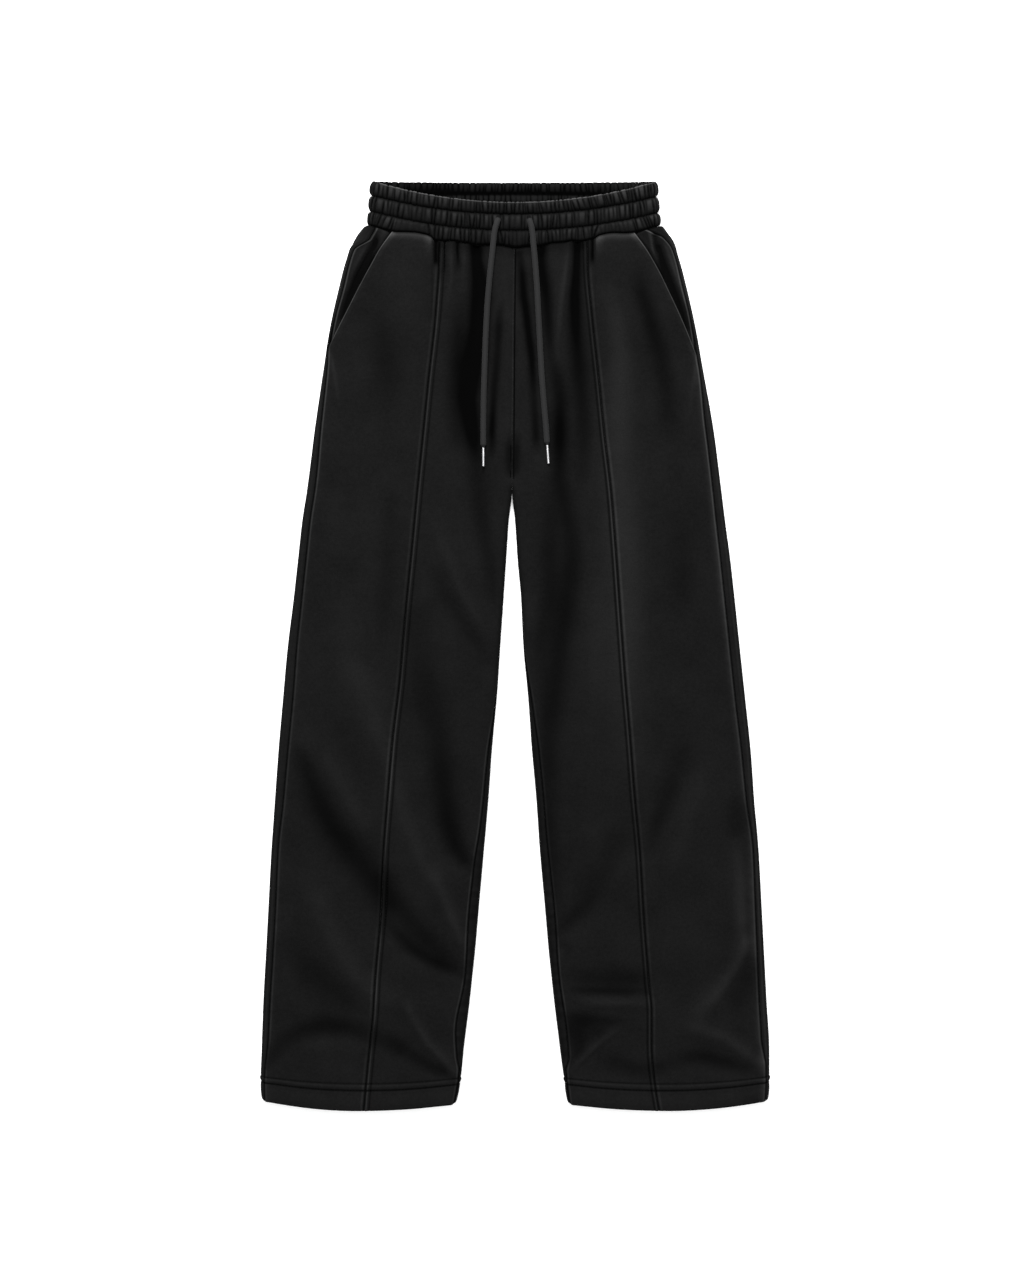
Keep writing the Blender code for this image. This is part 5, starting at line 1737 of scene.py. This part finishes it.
def makeWaistband():
    setup = bandSetup
    dice = np.random.default_rng(setup["seed"])
    radius, wall = setup["radius"], setup["wall"]
    straight = setup["length"] - 2 * radius
    end = math.pi * radius
    total = 2 * straight + 2 * end
    rows = bandProfile()
    channel, q, turn, lift, face = (np.array(column)[:, None] for column in zip(*rows))
    away, t = np.abs(q), (q + 1) / 2
    arc = np.linspace(0, total, setup["columns"], endpoint=False)
    lines = [gatherLines(k, total, straight, dice) for k in range(3)]
    found = [gatherRow(lines[row[0]], row[1], arc, total) for row in rows]
    rise, dip = (np.array(part) for part in zip(*found))
    # the sewn lines between the channels hold the gathers flat
    sewn = ((channel > 0) & (q < 0)) | ((channel < 2) & (q > 0))
    firm, soft = setup["holds"]
    hold = 1 - np.where(sewn, firm, soft) * away**4
    gather = (setup["crown"] * rise - setup["valley"] * dip) * hold
    arc = arc[None] + 0 * q

    # once round the flat band: the front, its right end, the back and its left end
    stretches = [arc < straight, arc < straight + end, arc < 2 * straight + end]
    back = 1 - 2 * (arc - straight - end) / straight
    along = np.select(stretches, [-1 + 2 * arc / straight, 1.0 + 0 * arc, back], -1.0)
    right = math.pi / 2 - (arc - straight) / radius
    left = -math.pi / 2 - (arc - 2 * straight - end) / radius
    quarters = [math.pi / 2 + 0 * arc, right, -math.pi / 2 + 0 * arc]
    angle = np.select(stretches, quarters, left)
    sideShare = (along + 1) / 2
    names = ("leftRows", "rightRows", "centreRows")
    leftRows, rightRows, centreRows = (np.array(setup[name]) for name in names)

    def rowAt(edge):
        return edge[channel] + (edge[channel + 1] - edge[channel]) * t

    sideRow = rowAt(leftRows) * (1 - sideShare) + rowAt(rightRows) * sideShare
    # each channel is a soft roll between its sewn lines
    drop = np.where(sewn, setup["groove"], setup["edge"]) + 0 * q
    bulge = drop * away ** setup["bulgePower"]
    part = setup["insideShare"]
    inside = wall - part * bulge + part * gather
    rim = drop + (wall - (1 + part) * drop) * turn - gather * (1 - turn) + part * gather * turn
    inset = np.select([face == outerFace, face == innerFace], [bulge - gather, inside], rim)

    halves = [a + (b - a) * sideRow for a, b in setup["half"]]
    half = np.where(along < 0, halves[0], halves[1]) * mm
    px = along * (half - radius) + np.cos(angle) * (radius - inset)
    pz = radius + np.sin(angle) * (radius - inset)
    fullZ = radius + np.sin(angle) * radius
    central = np.maximum(0.0, 1 - (px / legSetup["dipHalf"]) ** 2)
    topY = fullLength - frontDip(px, fullZ, radius, legSetup["dipTop"])
    topY = topY - legSetup["sag"] * np.sqrt(central) * (1 - ease(fullZ / (2 * radius)))
    bottomY = bandBottom - frontDip(px, fullZ, radius, legSetup["dipBottom"])
    row = sideRow + (rowAt(centreRows) - sideRow) * central
    lineSide = leftRows[2] * (1 - sideShare) + rightRows[2] * sideShare
    lineRow = lineSide + (centreRows[2] - lineSide) * central
    lowShare = np.where(channel == 2, (row - lineRow) / (1 - lineRow), 0.0)
    over = overhang(px, fullZ, radius) * np.clip(lowShare, 0, 1)
    py = topY + (bottomY - topY) * row + over + lift
    # the top edge and the sewn lines are scalloped by the gathers
    topHalf = (channel == 0) & (q < 0)
    py = py + topHalf * away**3 * setup["scallop"] * (gather / hold)
    high, long = setup["sewnWave"]
    py = py + sewn * away**2 * high * softWaves(arc, 0 * arc, 17, long)
    high, long = setup["swell"]
    swell = high * softWaves(px, py, 31, long)
    pz = pz + np.where(pz > radius, swell, 0.0) * (face != innerFace)
    pz = np.maximum(pz, 0.0)

    hole = np.zeros(px.shape)
    for side in ("right", "left"):
        hx, hh = holeSetup[side]
        reach = np.hypot((px / mm - hx) / holeSetup["across"],
                         ((py + fullLength / 2) / mm - hh) / holeSetup["along"])
        onTop = (face == outerFace) & (pz > radius)
        sunk = fade(reach - holeSetup["flat"], 1 - holeSetup["flat"])
        hole = np.maximum(hole, np.where(onTop, sunk, 0.0))
    pz = np.maximum(pz - hole * holeSetup["depth"] * mm, 0.0)
    tone = bandTone(px, channel, q, turn, face, sewn, along, rise, dip, hold)
    frontRim = (angle > 0) * ease(fullZ / radius - 0.8)
    tone = tone + rimLight(channel, q, turn, face, dip) * frontRim
    # painted shadow in the two cord holes
    tone = insideTone(tone, q, along, face) * (1 - ease(hole * holeSetup["dark"]))
    points = np.stack((px, py - fullLength / 2, pz), -1)

    loops, columns = points.shape[:2]
    grid = np.arange(loops * columns).reshape(loops, columns)
    below, beside = np.roll(grid, -1, axis=0), np.roll(grid, -1, axis=1)
    corner = np.roll(below, -1, axis=1)
    faces = np.stack((grid, beside, corner, below), -1).reshape(-1, 4)
    height = fullLength - (fullLength - bandBottom) * sideRow
    uv = np.stack((arc, -height), -1).reshape(-1, 2)
    made = writeMesh("waistbandCloth", points.reshape(-1, 3), [faces], bandFleece, uv,
                     np.clip(tone, 0, 1).ravel(), setup["sharp"])
    faceOutwards(made)
    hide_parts("waistband")
    return made, points, rows


def bandTone(px, channel, q, turn, face, sewn, along, rise, dip, hold):
    # Painted highlight on the crowns and painted shade in the valleys and sewn lines; each channel
    # darker towards its bottom, the lowest one darker at its lower edge and in the middle, lighter
    # towards both ends, and the hidden rims shaded.
    look, away, t = bandLook, np.abs(q), (q + 1) / 2
    shine = np.clip(look["crown"] * rise - look["valley"] * dip, *look["limits"]) * hold
    lines = np.where(sewn, look["sewn"], look["edge"]) * away ** look["linePower"]
    tone = look["level"] + shine - lines - look["fall"] * (t - look["fallFrom"])
    dark, start = look["bottom"]
    under = (channel == 2) & (q > start)
    tone = np.where(under, tone - dark * ease((q - start) / (1 - start)), tone)
    at, half = look["middleAt"]
    middle = hump((px / mm - at) / half) * (channel == 2)
    tone = tone - look["middle"] * middle * (0.5 + 0.5 * t)
    light, start, reach = look["right"]
    tone = tone + light * ease((along - start) / reach)
    light, start, reach = look["left"]
    tone = tone + light * ease((-along - start) / reach)
    return np.where((face == rimFace) & (q > 0), look["hidden"], tone)


def rimLight(channel, q, turn, face, dip):
    # The top edge of the front catches the light.
    topHalf = (channel == 0) & (q < 0)
    start, over = bandLook["rimRow"]
    line = np.where(topHalf, ease((np.abs(q) - start) / over), 0.0)
    start, over = bandLook["rimTurn"]
    line = np.where(face == rimFace, (q < 0) * fade(turn - start, over), line)
    line = np.where(face == innerFace, 0.0, line)
    return line * (bandLook["rim"] - bandLook["rimValley"] * np.clip(dip, 0, 1.2))


def insideTone(tone, q, along, face):
    # Painted shade on the inside of the band, deeper low in each channel, along the sewn lines and
    # on the left.
    base, lower, lines = bandLook["inside"]
    dark = base + lower * ease((q + 1) / 2 * 1.2) + lines * np.abs(q) ** 3
    left, start = bandLook["insideLeft"]
    dark = dark + left * ease((-along - start) / start)
    return np.where(face == innerFace, tone - dark, tone)


pieces["waistband"], bandPoints, bandRows = makeWaistband()
print("waistband is gathered")


# Stitches: one small capsule of thread for each, its two ends sunk in the cloth.
stitchSetup = {
    "length": 2.6 * mm,
    "gap": 0.7 * mm,
    "radius": 0.24 * mm,
    "sides": 5,
    # of each ring of a capsule: place along it, lift off the cloth, share of the girth
    "shares": np.array((0.0, 0.16, 0.84, 1.0)),
    "lift": np.array((-0.32, 0.12, 0.12, -0.32)) * mm,
    "girth": np.array((0.55, 1.0, 1.0, 0.55)),
    "hemHeight": 26 * mm,
    "seamRow": 36,  # the first row above the hem
    "bandStep": 1.6 * mm,
    "bandSmooth": 5,
}


def stitchesAlong(line, normals):
    setup = stitchSetup
    lengths = lengthsOf(line)
    every = setup["length"] + setup["gap"]
    turn = np.arange(setup["sides"]) / setup["sides"] * 2 * math.pi
    girth = (setup["radius"] * setup["girth"])[:, None, None]
    made = []
    for k in range(int(lengths[-1] / every)):
        at = k * every + setup["shares"] * setup["length"]
        centre = readLine(at, lengths, line)
        up = unit(readLine(at, lengths, normals))
        side = unit(np.cross(centre[-1] - centre[0], up))
        middle = centre + up * setup["lift"][:, None]
        made.append(middle[:, None] + ringOf(turn, side, up) * girth)
    return made


def writeStitches(name, stitches):
    sides = stitchSetup["sides"]
    one = np.arange(4 * sides).reshape(4, sides)
    around = np.roll(one, -1, axis=1)
    quads = np.stack((one[:-1], around[:-1], around[1:], one[1:]), -1).reshape(-1, 4)
    bases = (np.arange(len(stitches)) * 4 * sides)[:, None]
    faces = [
        (quads[None] + bases[..., None]).reshape(-1, 4), one[0][::-1] + bases, one[-1] + bases,
    ]
    points = np.concatenate([stitch.reshape(-1, 3) for stitch in stitches])
    made = writeMesh(name, points, faces, thread)
    faceOutwards(made)
    return made


def hemStitches(leg):
    made = []
    height = stitchSetup["hemHeight"]
    for part in ("frontOuter", "frontInner", "back"):
        panel = panels[part, leg.side]
        row = int(np.argmin(np.abs(panel.heights - height)))
        across = np.clip(leg.across(panel.outer[row, :, 0], height), 0, 1)
        for twin in (0.0, hemLook["twin"]):
            made += stitchesAlong(*panel.lineAcross(hemLine(across) + twin))
    return made


def seamStitches(leg):
    panel = panels["frontInner", leg.side]
    seam = leg.frontSeam(panel.heights, "inner") - seamLook[leg.side]["lineAt"] * mm
    line, normals = panel.lineDown(seam)
    first = stitchSetup["seamRow"]
    return stitchesAlong(line[first:], normals[first:])


def smoothRound(line):
    # The mean of each point and its neighbours, for a line that closes on itself.
    count = stitchSetup["bandSmooth"]
    ends = count // 2
    closed = np.vstack((line[-ends:], line, line[:ends]))
    kernel = np.ones(count) / count
    return np.stack([np.convolve(column, kernel, "valid") for column in closed.T], 1)


def bandStitches(channel):
    # A taut line across the gathers along the channel's lower sewn line, not down into each.
    index = next(i for i, row in enumerate(bandRows) if row[0] == channel and row[1] == 1.0)
    line = np.vstack((bandPoints[index], bandPoints[index][:1]))
    down = bandPoints[index + 1] - bandPoints[index - 1]
    up = np.cross(np.roll(line, -1, 0) - line, np.vstack((down, down[:1])))
    up[np.linalg.norm(up, axis=1) < 1e-12] = (0, 0, 1)
    up = unit(up)
    if up[len(up) // 5][2] < 0:  # a place on the front
        up = -up
    line = resample(line, stitchSetup["bandStep"])
    normals = readLine(np.linspace(0, 1, len(line)), np.linspace(0, 1, len(up)), up)
    return stitchesAlong(smoothRound(line), unit(smoothRound(normals)))


for leg in legs:
    side = leg.side
    pieces["hemStitches", side] = writeStitches("hemStitches." + side, hemStitches(leg))
    pieces["seamStitches", side] = writeStitches("seamStitches." + side, seamStitches(leg))
pieces["bandStitches"] = writeStitches("bandStitches", bandStitches(0) + bandStitches(1))
print("stitches are sewn")
